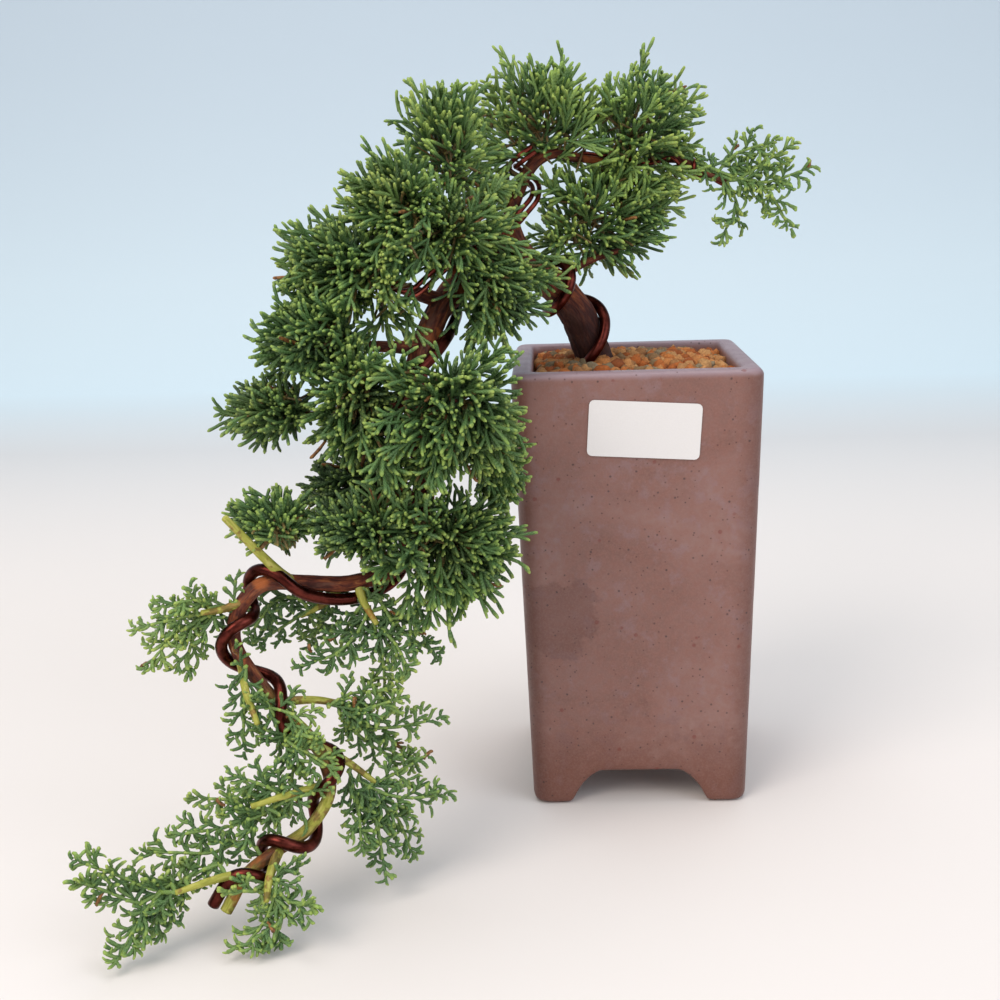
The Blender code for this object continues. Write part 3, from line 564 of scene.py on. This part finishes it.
def juniper_scales():
    """Living scale leaves, pressed flat to round shoots: a waxy mid green, with painted shade of dark
    blue-green inside each pad and a painted highlight on the crown, yellow-green at the tips, and a
    paler edge to each scale, partly a painted sheen."""
    made, add = new_material("juniper_scale_leaves")
    place = add("TexCoord", out="Object")
    along, around, tone, wood, reach = (
        add("Attribute", out="Fac", attribute_name=label)
        for label in ("along", "around", "tone", "wood", "reach"))
    run = add("Math MULTIPLY", (along, reach))
    rows = add("Math SINE", (add("Math MULTIPLY", (run, math.tau / SCALE_LONG)),))
    pairs = add("Math COSINE", (add("Math MULTIPLY", (around, math.tau * 2)),))
    scales = add("Math MULTIPLY_ADD", (add("Math MULTIPLY", (rows, pairs)), 0.5, 0.5))
    drift = add("TexNoise", grain(place, 22, 3, 0.6))
    # Painted shade: the dark greens of shoots that get little painted light, deep in a pad
    painted_shade_green = add("ValToRGB", (drift,), stops=[(0.3, "#0e1d10"), (0.5, "#172a15"), (0.7, "#243214")])
    full = add("ValToRGB", (drift,), stops=[(0.3, "#315628"), (0.5, "#44682d"), (0.7, "#5e7731")])
    fresh = add("ValToRGB", (drift,), stops=[(0.35, "#8cac43"), (0.65, "#b3bf55")])
    dry = add("TexNoise", grain(place, 1.4))
    stick = add("ValToRGB", (dry,), stops=[(0.35, "#5d3a22"), (0.6, "#9a6a3a")])
    # The yellow-green tips are new growth; more of a tip turns yellow-green where its painted light is higher
    at_tip = add("Math MULTIPLY_ADD", (tone, 0.22, along))
    # Each shoot's painted light and shade blends from the painted shade green to the full green
    colour = coats(add, painted_shade_green, [
        ((tone, 0.0, 1.0, 0.0, 1.0), full),
        # Painted highlight: past 0.9, a lighter green on the most brightly painted shoots, on the crown
        ((tone, 0.9, 1.4, 0.0, 0.6), "#87a04e"),
        ((at_tip, 0.86, 1.24, 0.0, 0.85), fresh),
        # The scales' pale edges: partly their own colour, partly a painted sheen
        (add("Math MULTIPLY", (scales, 0.26)), "#9cbb84"),
        (wood, stick)])
    shade(add, {"Base Color": colour, "Roughness": 0.52, "Specular IOR Level": 0.38}, scales, 0.22, 0.7)
    return made


def plain_finish(name, stops, looks, noise_size, relief, stretch=(1, 1, 1)):
    """One noise gives the colour and the relief; noise_size is (mm, detail), relief (mm, strength)."""
    made, add = new_material(name)
    place = add("Mapping", {"Vector": add("TexCoord", out="Object"), "Scale": stretch})
    marks = add("TexNoise", grain(place, *noise_size))
    shade(add, {"Base Color": add("ValToRGB", (marks,), stops=stops), **looks}, marks, *relief)
    return made


def cut_metal():
    """Aluminium as the cutters left it: bright, with the marks of their jaws."""
    return plain_finish("sheared_aluminium", [(0.0, "#c9c7c4"), (1.0, "#f0efed")],
                        {"Metallic": 1.0, "Roughness": 0.3}, (0.8, 2), (0.1, 0.5), (1, 6, 1))


def dry_wood():
    """Sawn juniper end, dried out: grey-brown with dark rings and checks."""
    return plain_finish("dried_cut_wood", [(0.3, "#3c2416"), (0.5, "#7a5433"), (0.72, "#b08a5c")],
                        {"Roughness": 0.9}, (0.8, 4, 0.7), (0.6, 0.9))


def label_paper():
    """Coated label stock with a die-cut edge: off-white, smooth, with a faint satin."""
    return plain_finish("coated_label_paper", [(0.0, "#dfdad8"), (1.0, "#e7e3e1")],
                        {"Roughness": 0.42}, (0.5, 3), (0.02, 0.3))


def mesh_plastic():
    """Extruded polyethylene netting: black, a little waxy."""
    return plain_finish("extruded_polyethylene_net", [(0.0, "#141414"), (1.0, "#242424")],
                        {"Roughness": 0.5}, (1.5, 2), (0.05, 0.4))


def clip_wire():
    """Bare drawn aluminium wire: pale grey, softly scratched."""
    return plain_finish("bare_drawn_aluminium", [(0.0, "#b4b3b1"), (1.0, "#d8d7d5")],
                        {"Metallic": 1.0, "Roughness": 0.35}, (0.3, 2), (0.04, 0.4), (0.05, 1, 1))


# ---------------------------------------------------------------- geometry node trees

def new_tree(name, inputs):
    """A Geometry Nodes tree with named inputs, the function that adds a node to it, and its inputs."""
    tree = bpy.data.node_groups.new(name, "GeometryNodeTree")
    for label, kind in {"Geometry": "Geometry", **inputs}.items():
        tree.interface.new_socket(label, in_out="INPUT", socket_type="NodeSocket" + kind)
    tree.interface.new_socket("Geometry", in_out="OUTPUT", socket_type="NodeSocketGeometry")
    return tree, partial(node, tree), tree.nodes.new("NodeGroupInput").outputs


def grown(mesh, tree, values, name):
    """The plain mesh that a tree makes of a start mesh, as a smooth object."""
    start = bpy.data.objects.new(name, mesh)
    bpy.context.scene.collection.objects.link(start)
    step = start.modifiers.new("grow", "NODES")
    step.node_group = tree
    sockets = {item.name: item.identifier for item in tree.interface.items_tree if item.in_out == "INPUT"}
    for label, value in values.items():
        step[sockets[label]] = value
    result = evaluated_mesh(start)
    result.name = name
    result.shade_smooth()
    made = bpy.data.objects.new(name, result)
    bpy.context.scene.collection.objects.link(made)
    return made


def shoots_tree():
    """Sets a shoot on every point: turned to grow along it, and sized by its width and reach."""
    tree, add, given = new_tree("shoots_on_twigs", {
        "Shoot shapes": "Collection", "Thickness": "Float", "Leaves": "Material"})
    grow, side, width, reach, shape = (
        add("GeometryNodeInputNamedAttribute", {"Name": label}, data_type=kind) for label, kind in (
            ("grow", "FLOAT_VECTOR"), ("side", "FLOAT_VECTOR"), ("width", "FLOAT"), ("reach", "FLOAT"),
            ("shape", "INT")))
    shapes = add("GeometryNodeCollectionInfo", {
        "Collection": given["Shoot shapes"], "Separate Children": True, "Reset Children": True})
    turn = add("FunctionNodeAxesToRotation", {"Primary Axis": grow, "Secondary Axis": side},
               primary_axis="Z", secondary_axis="X")
    wide = add("Math MULTIPLY", (width, given["Thickness"]))
    long = add("Math MULTIPLY", (reach, MM))
    placed = add("GeometryNodeInstanceOnPoints", {
        "Points": add("GeometryNodeMeshToPoints", {"Mesh": given["Geometry"]}), "Instance": shapes,
        "Pick Instance": True, "Instance Index": shape, "Rotation": turn,
        "Scale": add("CombineXYZ", (wide, wide, long))})
    real = add("GeometryNodeRealizeInstances", {"Geometry": placed})
    add("NodeGroupOutput", (add("GeometryNodeSetMaterial", {"Geometry": real, "Material": given["Leaves"]}),))
    return tree


def granules_tree():
    """Strews granules over the upward faces of a bed, with a random turn, size and tone."""
    tree, add, given = new_tree("granules_on_bed", {
        "Granule shapes": "Collection", "Smallest": "Float", "Largest": "Float", "Spacing": "Float",
        "Seed": "Int", "Clay": "Material"})
    up = add("SeparateXYZ", (add("GeometryNodeInputNormal"),), "Z")
    upward = add("FunctionNodeCompare GREATER_THAN", {"A": up, "B": 0.5})
    spots = add("GeometryNodeDistributePointsOnFaces", {
        "Mesh": given["Geometry"], "Selection": upward, "Distance Min": given["Spacing"],
        "Density Max": 1.2e5, "Seed": given["Seed"]}, distribute_method="POISSON")
    shapes = add("GeometryNodeCollectionInfo", {
        "Collection": given["Granule shapes"], "Separate Children": True, "Reset Children": True})
    turn = add("FunctionNodeRandomValue", {1: (math.tau,) * 3, "Seed": 3}, data_type="FLOAT_VECTOR")
    size = add("FunctionNodeRandomValue", {2: given["Smallest"], 3: given["Largest"], "Seed": 5}, 1,
               data_type="FLOAT")
    pick = add("FunctionNodeRandomValue", {4: 0, 5: GRANULE_SHAPES - 1, "Seed": 7}, 2, data_type="INT")
    tone = add("FunctionNodeRandomValue", {"Seed": 9}, 1, data_type="FLOAT")
    toned = add("GeometryNodeStoreNamedAttribute", {"Geometry": spots, "Name": "tone", "Value": tone},
                data_type="FLOAT", domain="POINT")
    placed = add("GeometryNodeInstanceOnPoints", {
        "Points": toned, "Instance": shapes, "Pick Instance": True, "Instance Index": pick,
        "Rotation": turn, "Scale": size})
    both = add("GeometryNodeJoinGeometry", (add("GeometryNodeRealizeInstances", {"Geometry": placed}),))
    tree.links.new(given["Geometry"], both.node.inputs[0])
    add("NodeGroupOutput", (add("GeometryNodeSetMaterial", {"Geometry": both, "Material": given["Clay"]}),))
    return tree


# ---------------------------------------------------------------- pot, soil, label

def build_pot():
    """The pot with the soft edges of fired clay: its CAD walls, remeshed fine and smoothed."""
    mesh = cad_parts["pot"].data.copy()
    work = bmesh.new()
    work.from_mesh(mesh)
    bmesh.ops.remove_doubles(work, verts=work.verts, dist=1e-6)
    work.to_mesh(mesh)
    work.free()
    rough = object_from(mesh, "pot_rough", [])
    remesh = rough.modifiers.new("fine", "REMESH")
    remesh.mode = "VOXEL"
    remesh.voxel_size = 1.25 * MM
    soften = rough.modifiers.new("soften", "SMOOTH")
    soften.factor = 0.5
    soften.iterations = 9
    pot = object_from(evaluated_mesh(rough), "stoneware_pot", [stoneware()])
    stands_for(pot, "stoneware", "pot")


def granule_shapes():
    """A few lumpy granules of unit size, tumbled round."""
    home = bpy.data.collections.new("granule_shapes")
    for index in range(GRANULE_SHAPES):
        work = bmesh.new()
        bmesh.ops.create_icosphere(work, subdivisions=2, radius=0.5)
        for vertex in work.verts:
            lump = noise.noise(vertex.co * 2.6 + Vector((index * 9.1, 0, 0)))
            vertex.co *= 1 + 0.62 * lump
            vertex.co.z *= 0.84
        mesh = bpy.data.meshes.new(f"granule_{index}")
        work.to_mesh(mesh)
        work.free()
        home.objects.link(bpy.data.objects.new(f"granule_{index}", mesh))
    return home


def build_soil():
    """The crowned bed and the clay granules on it."""
    low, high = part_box("soil")
    middle = (low + high) / 2
    edge_gap = 1.2 * MM
    half = Vector(((high.x - low.x) / 2 - edge_gap, (high.y - low.y) / 2 - edge_gap, 0))
    crown = 3.4 * MM
    under_grains = 2.3 * MM
    foot_share = 0.955           # the pot's taper, from the bed's top to its foot
    work = bmesh.new()
    bmesh.ops.create_grid(work, x_segments=24, y_segments=24, size=1.0)
    for vertex in work.verts:
        x, y = vertex.co.x, vertex.co.y
        rise = (1 - x ** 4) * (1 - y ** 4)
        lump = noise.noise(Vector((x * 3, y * 3, 4.0)))
        vertex.co = Vector((middle.x + x * half.x, middle.y + y * half.y,
                            high.z - under_grains - crown * (1 - rise) + 0.7 * MM * lump))
    deep = bmesh.ops.extrude_face_region(work, geom=work.faces[:])
    for vertex in (item for item in deep["geom"] if isinstance(item, bmesh.types.BMVert)):
        vertex.co.z = low.z + 0.5 * MM
        vertex.co.x = middle.x + (vertex.co.x - middle.x) * foot_share
        vertex.co.y = middle.y + (vertex.co.y - middle.y) * foot_share
    bmesh.ops.recalc_face_normals(work, faces=work.faces)
    bed = bpy.data.meshes.new("bed")
    work.to_mesh(bed)
    work.free()
    soil = grown(bed, granules_tree(), {
        "Granule shapes": granule_shapes(), "Smallest": 3.4 * MM, "Largest": 7.2 * MM, "Spacing": 3.2 * MM,
        "Seed": 12, "Clay": fired_clay()}, "clay_granule_soil")
    stands_for(soil, "clay_grains", "soil")


def build_small_pieces():
    """The label, the drainage mesh and its clip keep their CAD shapes, with their real finishes."""
    for name, finish in (("label", label_paper), ("drainage_mesh", mesh_plastic), ("mesh_clip", clip_wire)):
        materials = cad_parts[name].data.materials
        materials.clear()
        materials.append(finish())


# ---------------------------------------------------------------- wood and wires

def flaky(strength, seed):
    """A bark surface: ridges that run along the wood and turn slowly round it."""
    shift = Vector((seed * 7.3, 0, 0))

    def surface(run, angle, radius):
        turned = angle + run * 0.02
        spot = Vector((math.cos(turned) * 1.6, math.sin(turned) * 1.6, run * 0.055)) + shift
        ridge = noise.fractal(spot * 1.4, 0.9, 2.2, 4)
        lump = noise.noise(Vector((math.cos(angle), math.sin(angle), run * 0.09)) + shift)
        return radius * (1 + strength * (0.55 * ridge + 0.45 * lump))
    return surface


def add_green(mesh, share):
    """How young and green the wood is at each point; share takes a place in mm and gives 0 to 1."""
    values = [share((vertex.co - POT_FOOT) / MM) for vertex in mesh.vertices]
    mesh.attributes.new("green", "FLOAT", "POINT").data.foreach_set("value", values)


def trunk_green(place):
    """The cascade's young wood: green on its last stub and in two stretches above it."""
    if place.y > -110:
        return 0.0
    stretches = ((68, 9), (42, 8), (16, 11))      # height of each one's middle and its half length, in mm
    return max(math.exp(-((place.z - middle) / half) ** 2) for middle, half in stretches)


def build_wood():
    """The trunk, its branches and the green stems, each grown out of the wood that bears it."""
    bark = juniper_bark("peeling_juniper_bark", False)
    young = juniper_bark("young_juniper_stem", True)
    dry = dry_wood()
    line = smooth_line([row[:4] for row in TRUNK], FINE_STEP)
    mesh = tube_mesh(line, 30, 0.25, flaky(0.16, 1))
    add_green(mesh, trunk_green)
    stands_for(object_from(mesh, "juniper_trunk", [bark, dry]), "bark", "trunk")
    for seed, (name, knots) in enumerate({**BRANCHES, **STEMS}.items(), 2):
        stem = name in STEMS
        line = smooth_line(knots, FINE_STEP)
        flare, flare_long = 0.35, 4.0
        line = [(*row[:3], row[3] * (1 + flare * math.exp(-i * FINE_STEP / flare_long)))
                for i, row in enumerate(line)]
        mesh = tube_mesh(line, 14 if stem else 20, 0.4, flaky(0.08 if stem else 0.15, seed))
        add_green(mesh, lambda place: 1.0 if stem else 0.0)
        piece = object_from(mesh, name + "_wood", [young if stem else bark, dry])
        stands_for(piece, "green_wood" if stem else "bark", name)


def build_wires():
    """Anodised wires, wound as a grower winds them, with their cut ends bright."""
    film = anodised_wire("brown_anodised_wire", "#4a1f1a", "#6d332b")
    copper = anodised_wire("copper_anodised_wire", "#6e2e27", "#8c4638")
    bright = cut_metal()
    thin = smooth_line(THIN_LINE, FINE_STEP)
    spray = [(*row, turn) for row, turn in zip(BRANCHES["right_spray_branch"][1:], SPRAY_TURNS)]
    wires = {
        "main_wire": (wound(TRUNK, MAIN_WIRE), film, "anodised_wire", 18),
        "thin_wire_upper": (beside(thin, THIN_WIRE / 2, THIN_PITCH / 2), copper, "copper_brown_wire", 12),
        "thin_wire_lower": (beside(thin, THIN_WIRE / 2, -THIN_PITCH / 2), copper, "copper_brown_wire", 12),
        "spray_wire": (wound(spray, SPRAY_WIRE), copper, "copper_brown_wire", 12)}
    for name, (line, finish, slot_name, sides) in wires.items():
        piece = object_from(tube_mesh(line, sides, 0.12), name + "_round", [finish, bright])
        stands_for(piece, slot_name, name)

# ---------------------------------------------------------------- foliage

def shoot_shapes():
    """Shoots of unit width and reach, blunt and knobbly, straight and bent."""
    home = bpy.data.collections.new("shoot_shapes")
    rings = [(0.0, 0.38), (0.22, 0.44), (0.46, 0.48), (0.7, 0.52), (0.9, 0.49), (0.985, 0.30)]
    for index, bend in enumerate(SHOOT_BENDS):
        points, along, around, faces = [], [], [], []
        for k, (high, radius) in enumerate(rings):
            for side in range(SHOOT_SIDES):
                angle = math.tau * side / SHOOT_SIDES
                knob = radius * (1 + 0.14 * math.cos(2 * angle + math.pi * k))
                points.append((knob * math.cos(angle) + bend * high ** 2, knob * math.sin(angle), high))
                along.append(high)
                around.append(abs(side / SHOOT_SIDES * 2 - 1))
        points.append((bend, 0.0, 1.0))
        along.append(1.0)
        around.append(0.5)
        last = (len(rings) - 1) * SHOOT_SIDES
        for side in range(SHOOT_SIDES):
            following = (side + 1) % SHOOT_SIDES
            faces += [(k + side, k + following, k + following + SHOOT_SIDES, k + side + SHOOT_SIDES)
                      for k in range(0, last, SHOOT_SIDES)]
            faces.append((last + side, last + following, len(points) - 1))
        faces.append(tuple(reversed(range(SHOOT_SIDES))))
        mesh = bpy.data.meshes.new(f"shoot_{index}")
        mesh.from_pydata(points, [], faces)
        mesh.attributes.new("along", "FLOAT", "POINT").data.foreach_set("value", along)
        mesh.attributes.new("around", "FLOAT", "POINT").data.foreach_set("value", around)
        home.objects.link(bpy.data.objects.new(f"shoot_{index}", mesh))
    return home


def spread_vector(rng, most):
    """A random vector with each part up to most either way."""
    return Vector(rng.uniform(-most, most) for _ in range(3))


def add_shoot(shoots, rng, place, grow, side, reach, width, tone, wood=0.0, shape=None):
    """Note one shoot; one that would reach below the surface turns up instead."""
    if place.z + grow.z * reach < LOWEST_TIP:
        grow = Vector((grow.x, grow.y, (LOWEST_TIP - place.z) / reach)).normalized()
    shape = rng.randrange(len(SHOOT_BENDS)) if shape is None else shape
    shoots.append((place, grow, side, width, reach, shape, tone, wood))
    return place + grow * reach


def add_spray(shoots, rng, root, tip, flat, habit, depth):
    """A spray: an axis with shoots on alternate sides, most of them with a fork."""
    axis = tip - root
    grow = axis.normalized()
    side = grow.cross(flat).normalized()
    lift = grow.cross(side)
    width = habit["width"]
    count = max(3, round(axis.length * (1 - habit["start"]) / habit["pitch"]))
    # depth is the spray's painted light; its axis, inside the spray, gets 0.6 of it as painted shade
    add_shoot(shoots, rng, root, grow, side, axis.length, width * 0.85, depth * 0.6)
    for i in range(count + 1):
        share = habit["start"] + (1 - habit["start"]) * i / count
        hand = 1 if i % 2 else -1
        lean = math.radians(rng.uniform(*habit["lean"])) * hand * (0.35 if i == count else 1.0)
        reach = rng.uniform(*habit["reach"]) * (1.05 - 0.35 * share)
        way = grow * math.cos(lean) + side * math.sin(lean) + lift * rng.uniform(-1, 1) * habit["flat"]
        way.normalize()
        place = root + axis * share * 0.97
        # Each shoot gets the spray's painted light, spread at random
        tone = min(1.4, depth * rng.uniform(0.7, 1.15))
        wood = 1.0 if rng.random() < DEAD_SHOOTS else 0.0
        end = add_shoot(shoots, rng, place, way, side, reach, width * rng.uniform(0.86, 1.1), tone, wood)
        if rng.random() < FORKLESS_SHOOTS:
            continue
        part = 0.35 + rng.uniform(0, 0.12)
        turn = math.radians(rng.uniform(*habit["fork_turn"])) * -hand
        fork = way * math.cos(turn) + way.cross(lift) * math.sin(turn) + lift * rng.uniform(-0.2, 0.2)
        add_shoot(shoots, rng, place.lerp(end, part), fork.normalized(), side,
                  rng.uniform(*habit["fork_reach"]), width * 0.92, tone)


def add_twig(shoots, rng, knots, thick, wood, tone=0.4):
    """A twig through the knots, thinner towards its end; returns its points."""
    line = [Vector(point) for point in smooth_line([tuple(knot) for knot in knots], TWIG_STEP)]
    for i, (a, b) in enumerate(zip(line, line[1:])):
        taper = 1 - 0.4 * i / len(line)
        add_shoot(shoots, rng, a, (b - a).normalized(), (b - a).orthogonal(), (b - a).length + 1.0,
                  thick * taper, tone, wood, 0)
    return line


def wood_points():
    """Places along the trunk, branches and stems that twigs can start from."""
    above_soil = TRUNK[3:]
    lines = [[row[:3] for row in knots] for knots in (above_soil, *BRANCHES.values(), *STEMS.values())]
    return [Vector(point) for line in lines for point in smooth_line(line, 4.0)]


def nearest(points, place):
    """The point of a list that is nearest to a place."""
    return min(points, key=lambda point: (point - place).length)


def add_plume(shoots, rng, knots, light):
    """A feather: a green axis with sprays on alternate sides, shorter towards its end."""
    habit = HABITS["fan"]
    line = add_twig(shoots, rng, knots, habit["limb_width"], 0.0, 1.3)
    lengths = [(b - a).length for a, b in zip(line, line[1:])]
    count = max(3, round(sum(lengths) / habit["gap"]))
    for k in range(count + 1):
        share = (k + 0.4) / (count + 0.4)
        run = share * sum(lengths)
        spot = 0
        while spot < len(lengths) - 1 and run > lengths[spot]:
            run -= lengths[spot]
            spot += 1
        way = (line[spot + 1] - line[spot]).normalized()
        place = line[spot] + way * run
        side = way.cross(VIEWER).normalized()
        lean = math.radians(rng.uniform(*habit["part"])) * (1 if k % 2 else -1) * (0.1 if k == count else 1.0)
        grow = way * math.cos(lean) + side * math.sin(lean) + VIEWER * rng.uniform(-0.4, 0.5)
        tip = place + grow.normalized() * rng.uniform(*habit["spray"]) * (1.15 - 0.55 * share)
        tip.z = max(tip.z, LOWEST_TIP + 1.0)
        flat = (VIEWER + spread_vector(rng, 0.4)).normalized()
        # Painted light: sprays further out along the plume are painted lighter
        add_spray(shoots, rng, place, tip, flat, habit, light * (0.75 + 0.3 * share))


def plume_shoots(rng, name, wood):
    """An open pad, as its plumes, in mm; each starts on the nearest wood."""
    shoots = []
    for row in PLUMES[name]:
        knots = [Vector((x, y, max(z, LOWEST_TIP + 2.0))) for x, y, z in row]
        base = nearest(wood, knots[0])
        if (base - knots[0]).length > SHORTEST_LINK:
            knots.insert(0, base)
        add_plume(shoots, rng, knots, FOLIAGE[name][0])
    return shoots


def whip_shoots(rng, name, wood):
    """A full pad, in mm: limbs that part at its heart, and sprays combed its own way."""
    light, count, trend = FOLIAGE[name]
    habit = HABITS["whip"]
    low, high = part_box("foliage_" + name)
    middle = ((low + high) / 2 - POT_FOOT) / MM
    half = (high - low) / 2 / MM
    trend = Vector(trend)
    inner = Vector(max(h * FILL - 0.4 * habit["reach"][1], 0.6 * h) for h in half)
    heart = middle - Vector(t * h for t, h in zip(trend, half)) * 0.42
    base = nearest(wood, heart)
    shoots = []
    if (heart - base).length > 2.0:
        add_twig(shoots, rng, (base, base.lerp(heart, 0.5) + Vector((0, 0, 1.5)), heart), 2.0, 0.8)

    def outward(i, total, pull):
        """One of a number of ways that part evenly, pulled towards the pad's own way."""
        level = 1 - 2 * (i + 0.5) / total
        turn = i * GOLDEN_TURN + rng.uniform(-0.35, 0.35)
        ring = math.sqrt(1 - level * level)
        return (Vector((ring * math.cos(turn), ring * math.sin(turn), level)) + trend * pull).normalized()

    def inside(out, least, most):
        """A place on the way out from the middle, at a random share of the pad's size."""
        return middle + Vector(o * h for o, h in zip(out, inner)) * rng.uniform(least, most)

    limbs = [inside(outward(i, habit["limbs"], 0.5), 0.35, 0.7) for i in range(habit["limbs"])]
    lone = [Vector(point) for point in LONE_LIMBS.get(name, ())]
    carriers = []
    for end in limbs + lone:
        bow = spread_vector(rng, 2.5) + Vector((0, 0, 2.0))
        carriers += add_twig(shoots, rng, (heart, heart.lerp(end, 0.5) + bow, end), habit["limb_width"], 0.55)
    tips = []
    for i in range(count):
        out = outward(i, count, 0.25)
        tips.append((inside(out, 0.5, 1.12), out))
    for end in lone:
        tips += [(end + spread_vector(rng, 8), (end - middle).normalized()) for _ in range(LONE_SPRAYS)]
    for tip, out in tips:
        away = (tip - base).normalized()
        way = (out * 0.5 + trend * 0.45 + away * 0.5 + spread_vector(rng, 0.3)).normalized()
        root = tip - way * rng.uniform(*habit["spray"])
        carrier = nearest(carriers, root)
        link = root - carrier
        if link.length > SHORTEST_LINK:
            add_shoot(shoots, rng, carrier, link.normalized(), way.orthogonal(), link.length + 0.8,
                      1.05, 0.3, 0.5, 0)
        flat = spread_vector(rng, 1).normalized()
        # Painted shade: sprays near the pad's middle get less painted light, those at its edge the most
        far = min(1.0, Vector(d / h for d, h in zip(tip - middle, inner)).length)
        add_spray(shoots, rng, root, tip, flat, habit, light * (0.2 + 0.8 * far ** 1.6))
    return shoots


def build_foliage():
    """Each pad becomes its own plain mesh of shoots."""
    tree = shoots_tree()
    shapes = shoot_shapes()
    leaves = juniper_scales()
    wood = wood_points()
    for seed, name in enumerate(FOLIAGE, FIRST_SEED):
        make = plume_shoots if name in PLUMES else whip_shoots
        shoots = make(random.Random(seed), name, wood)
        mesh = bpy.data.meshes.new("twig_points")
        mesh.from_pydata([POT_FOOT + row[0] * MM for row in shoots], [], [])
        for column, (label, kind) in enumerate((
                ("grow", "FLOAT_VECTOR"), ("side", "FLOAT_VECTOR"), ("width", "FLOAT"), ("reach", "FLOAT"),
                ("shape", "INT"), ("tone", "FLOAT"), ("wood", "FLOAT")), 1):
            exact = numpy.int32 if kind == "INT" else numpy.float32
            values = numpy.array([row[column] for row in shoots], exact)
            mesh.attributes.new(label, kind, "POINT").data.foreach_set(
                "vector" if kind == "FLOAT_VECTOR" else "value", values.ravel())
        piece = grown(mesh, tree, {"Shoot shapes": shapes, "Thickness": MM, "Leaves": leaves},
                      "sprays_" + name)
        stands_for(piece, "foliage", "foliage_" + name)


# ---------------------------------------------------------------- stage

def build_stage():
    """A pale sweep from floor to backdrop, a camera and soft lights; in metres."""
    made, add = new_material("matt_paper_sweep")
    place = add("TexCoord", out="Object")
    parts = add("SeparateXYZ", (place,)).node.outputs
    back = add("Math ADD", (parts["Y"], parts["Z"]))
    colour = add("ValToRGB", (add("MapRange", (back, 0.2, 2.6, 0.0, 1.0), **SMOOTH),), stops=[
        (0.0, "#e5ddd8"), (0.16, "#d6d5d5"), (0.36, "#dcebf2"), (0.62, "#d6e3ea"), (1.0, "#c4cfd9")])
    cloud = add("Math MULTIPLY", (add("TexNoise", grain(place, 300, 2)), 0.05))
    colour = coats(add, colour, [(cloud, "#dfe6ea")])
    shade(add, {"Base Color": colour, "Roughness": 0.9, "Specular IOR Level": 0.1})
    front, bend, radius, top, wide, steps = -3.0, 1.1, 0.7, 4.0, 4.0, 12
    profile = [(front, 0.0)]
    for k in range(steps + 1):
        angle = math.pi / 2 * k / steps
        profile.append((bend + radius * math.sin(angle), radius * (1 - math.cos(angle))))
    profile.append((bend + radius, top))
    points = [(x, y, z) for y, z in profile for x in (-wide, wide)]
    faces = [(2 * i, 2 * i + 1, 2 * i + 3, 2 * i + 2) for i in range(len(profile) - 1)]
    mesh = bpy.data.meshes.new("sweep")
    mesh.from_pydata(points, [], faces)
    object_from(mesh, "paper_sweep", [made])

    scene = bpy.context.scene
    world = bpy.data.worlds.new("soft_room")
    scene.world = world
    world.use_nodes = True
    sky = world.node_tree.nodes["Background"]
    sky.inputs["Color"].default_value = linear("#e9f1f7")
    sky.inputs["Strength"].default_value = 0.66
    for name, spot, size, power, tint in (
            ("key_softbox", (-1.1, -1.3, 1.7), 1.3, 31, "#fff6ee"),
            ("fill_softbox", (1.3, -0.9, 1.0), 1.2, 10, "#eef4ff"),
            ("top_softbox", (0.0, 0.3, 2.0), 1.4, 14, "#ffffff")):
        lamp = bpy.data.lights.new(name, "AREA")
        lamp.size = size
        lamp.energy = power
        lamp.color = linear(tint)[:3]
        light = bpy.data.objects.new(name, lamp)
        scene.collection.objects.link(light)
        light.location = spot
        aim = Vector((0.0, 0.0, 0.14)) - Vector(spot)
        light.rotation_euler = aim.to_track_quat("-Z", "Y").to_euler()

    # The camera stands where the pot's edges run as they do seen from just over its rim
    camera = bpy.data.cameras.new("camera")
    camera.lens = 49.61
    camera.sensor_width = 36.0
    camera.clip_start = 0.01
    view = bpy.data.objects.new("camera", camera)
    scene.collection.objects.link(view)
    right, up = Vector((0.99900, 0.03328, -0.02988)), Vector((0.02125, 0.23471, 0.97183))
    turned = Matrix((right, up, right.cross(up))).transposed().to_4x4()
    stand = Vector((-33.68, -585.31, 263.75)) * MM
    view.matrix_world = Matrix.Translation(POT_FOOT + stand) @ turned
    scene.camera = view
    scene.view_settings.view_transform = "Standard"


build_stage()
build_pot()
build_soil()
build_small_pieces()
build_wood()
build_wires()
build_foliage()
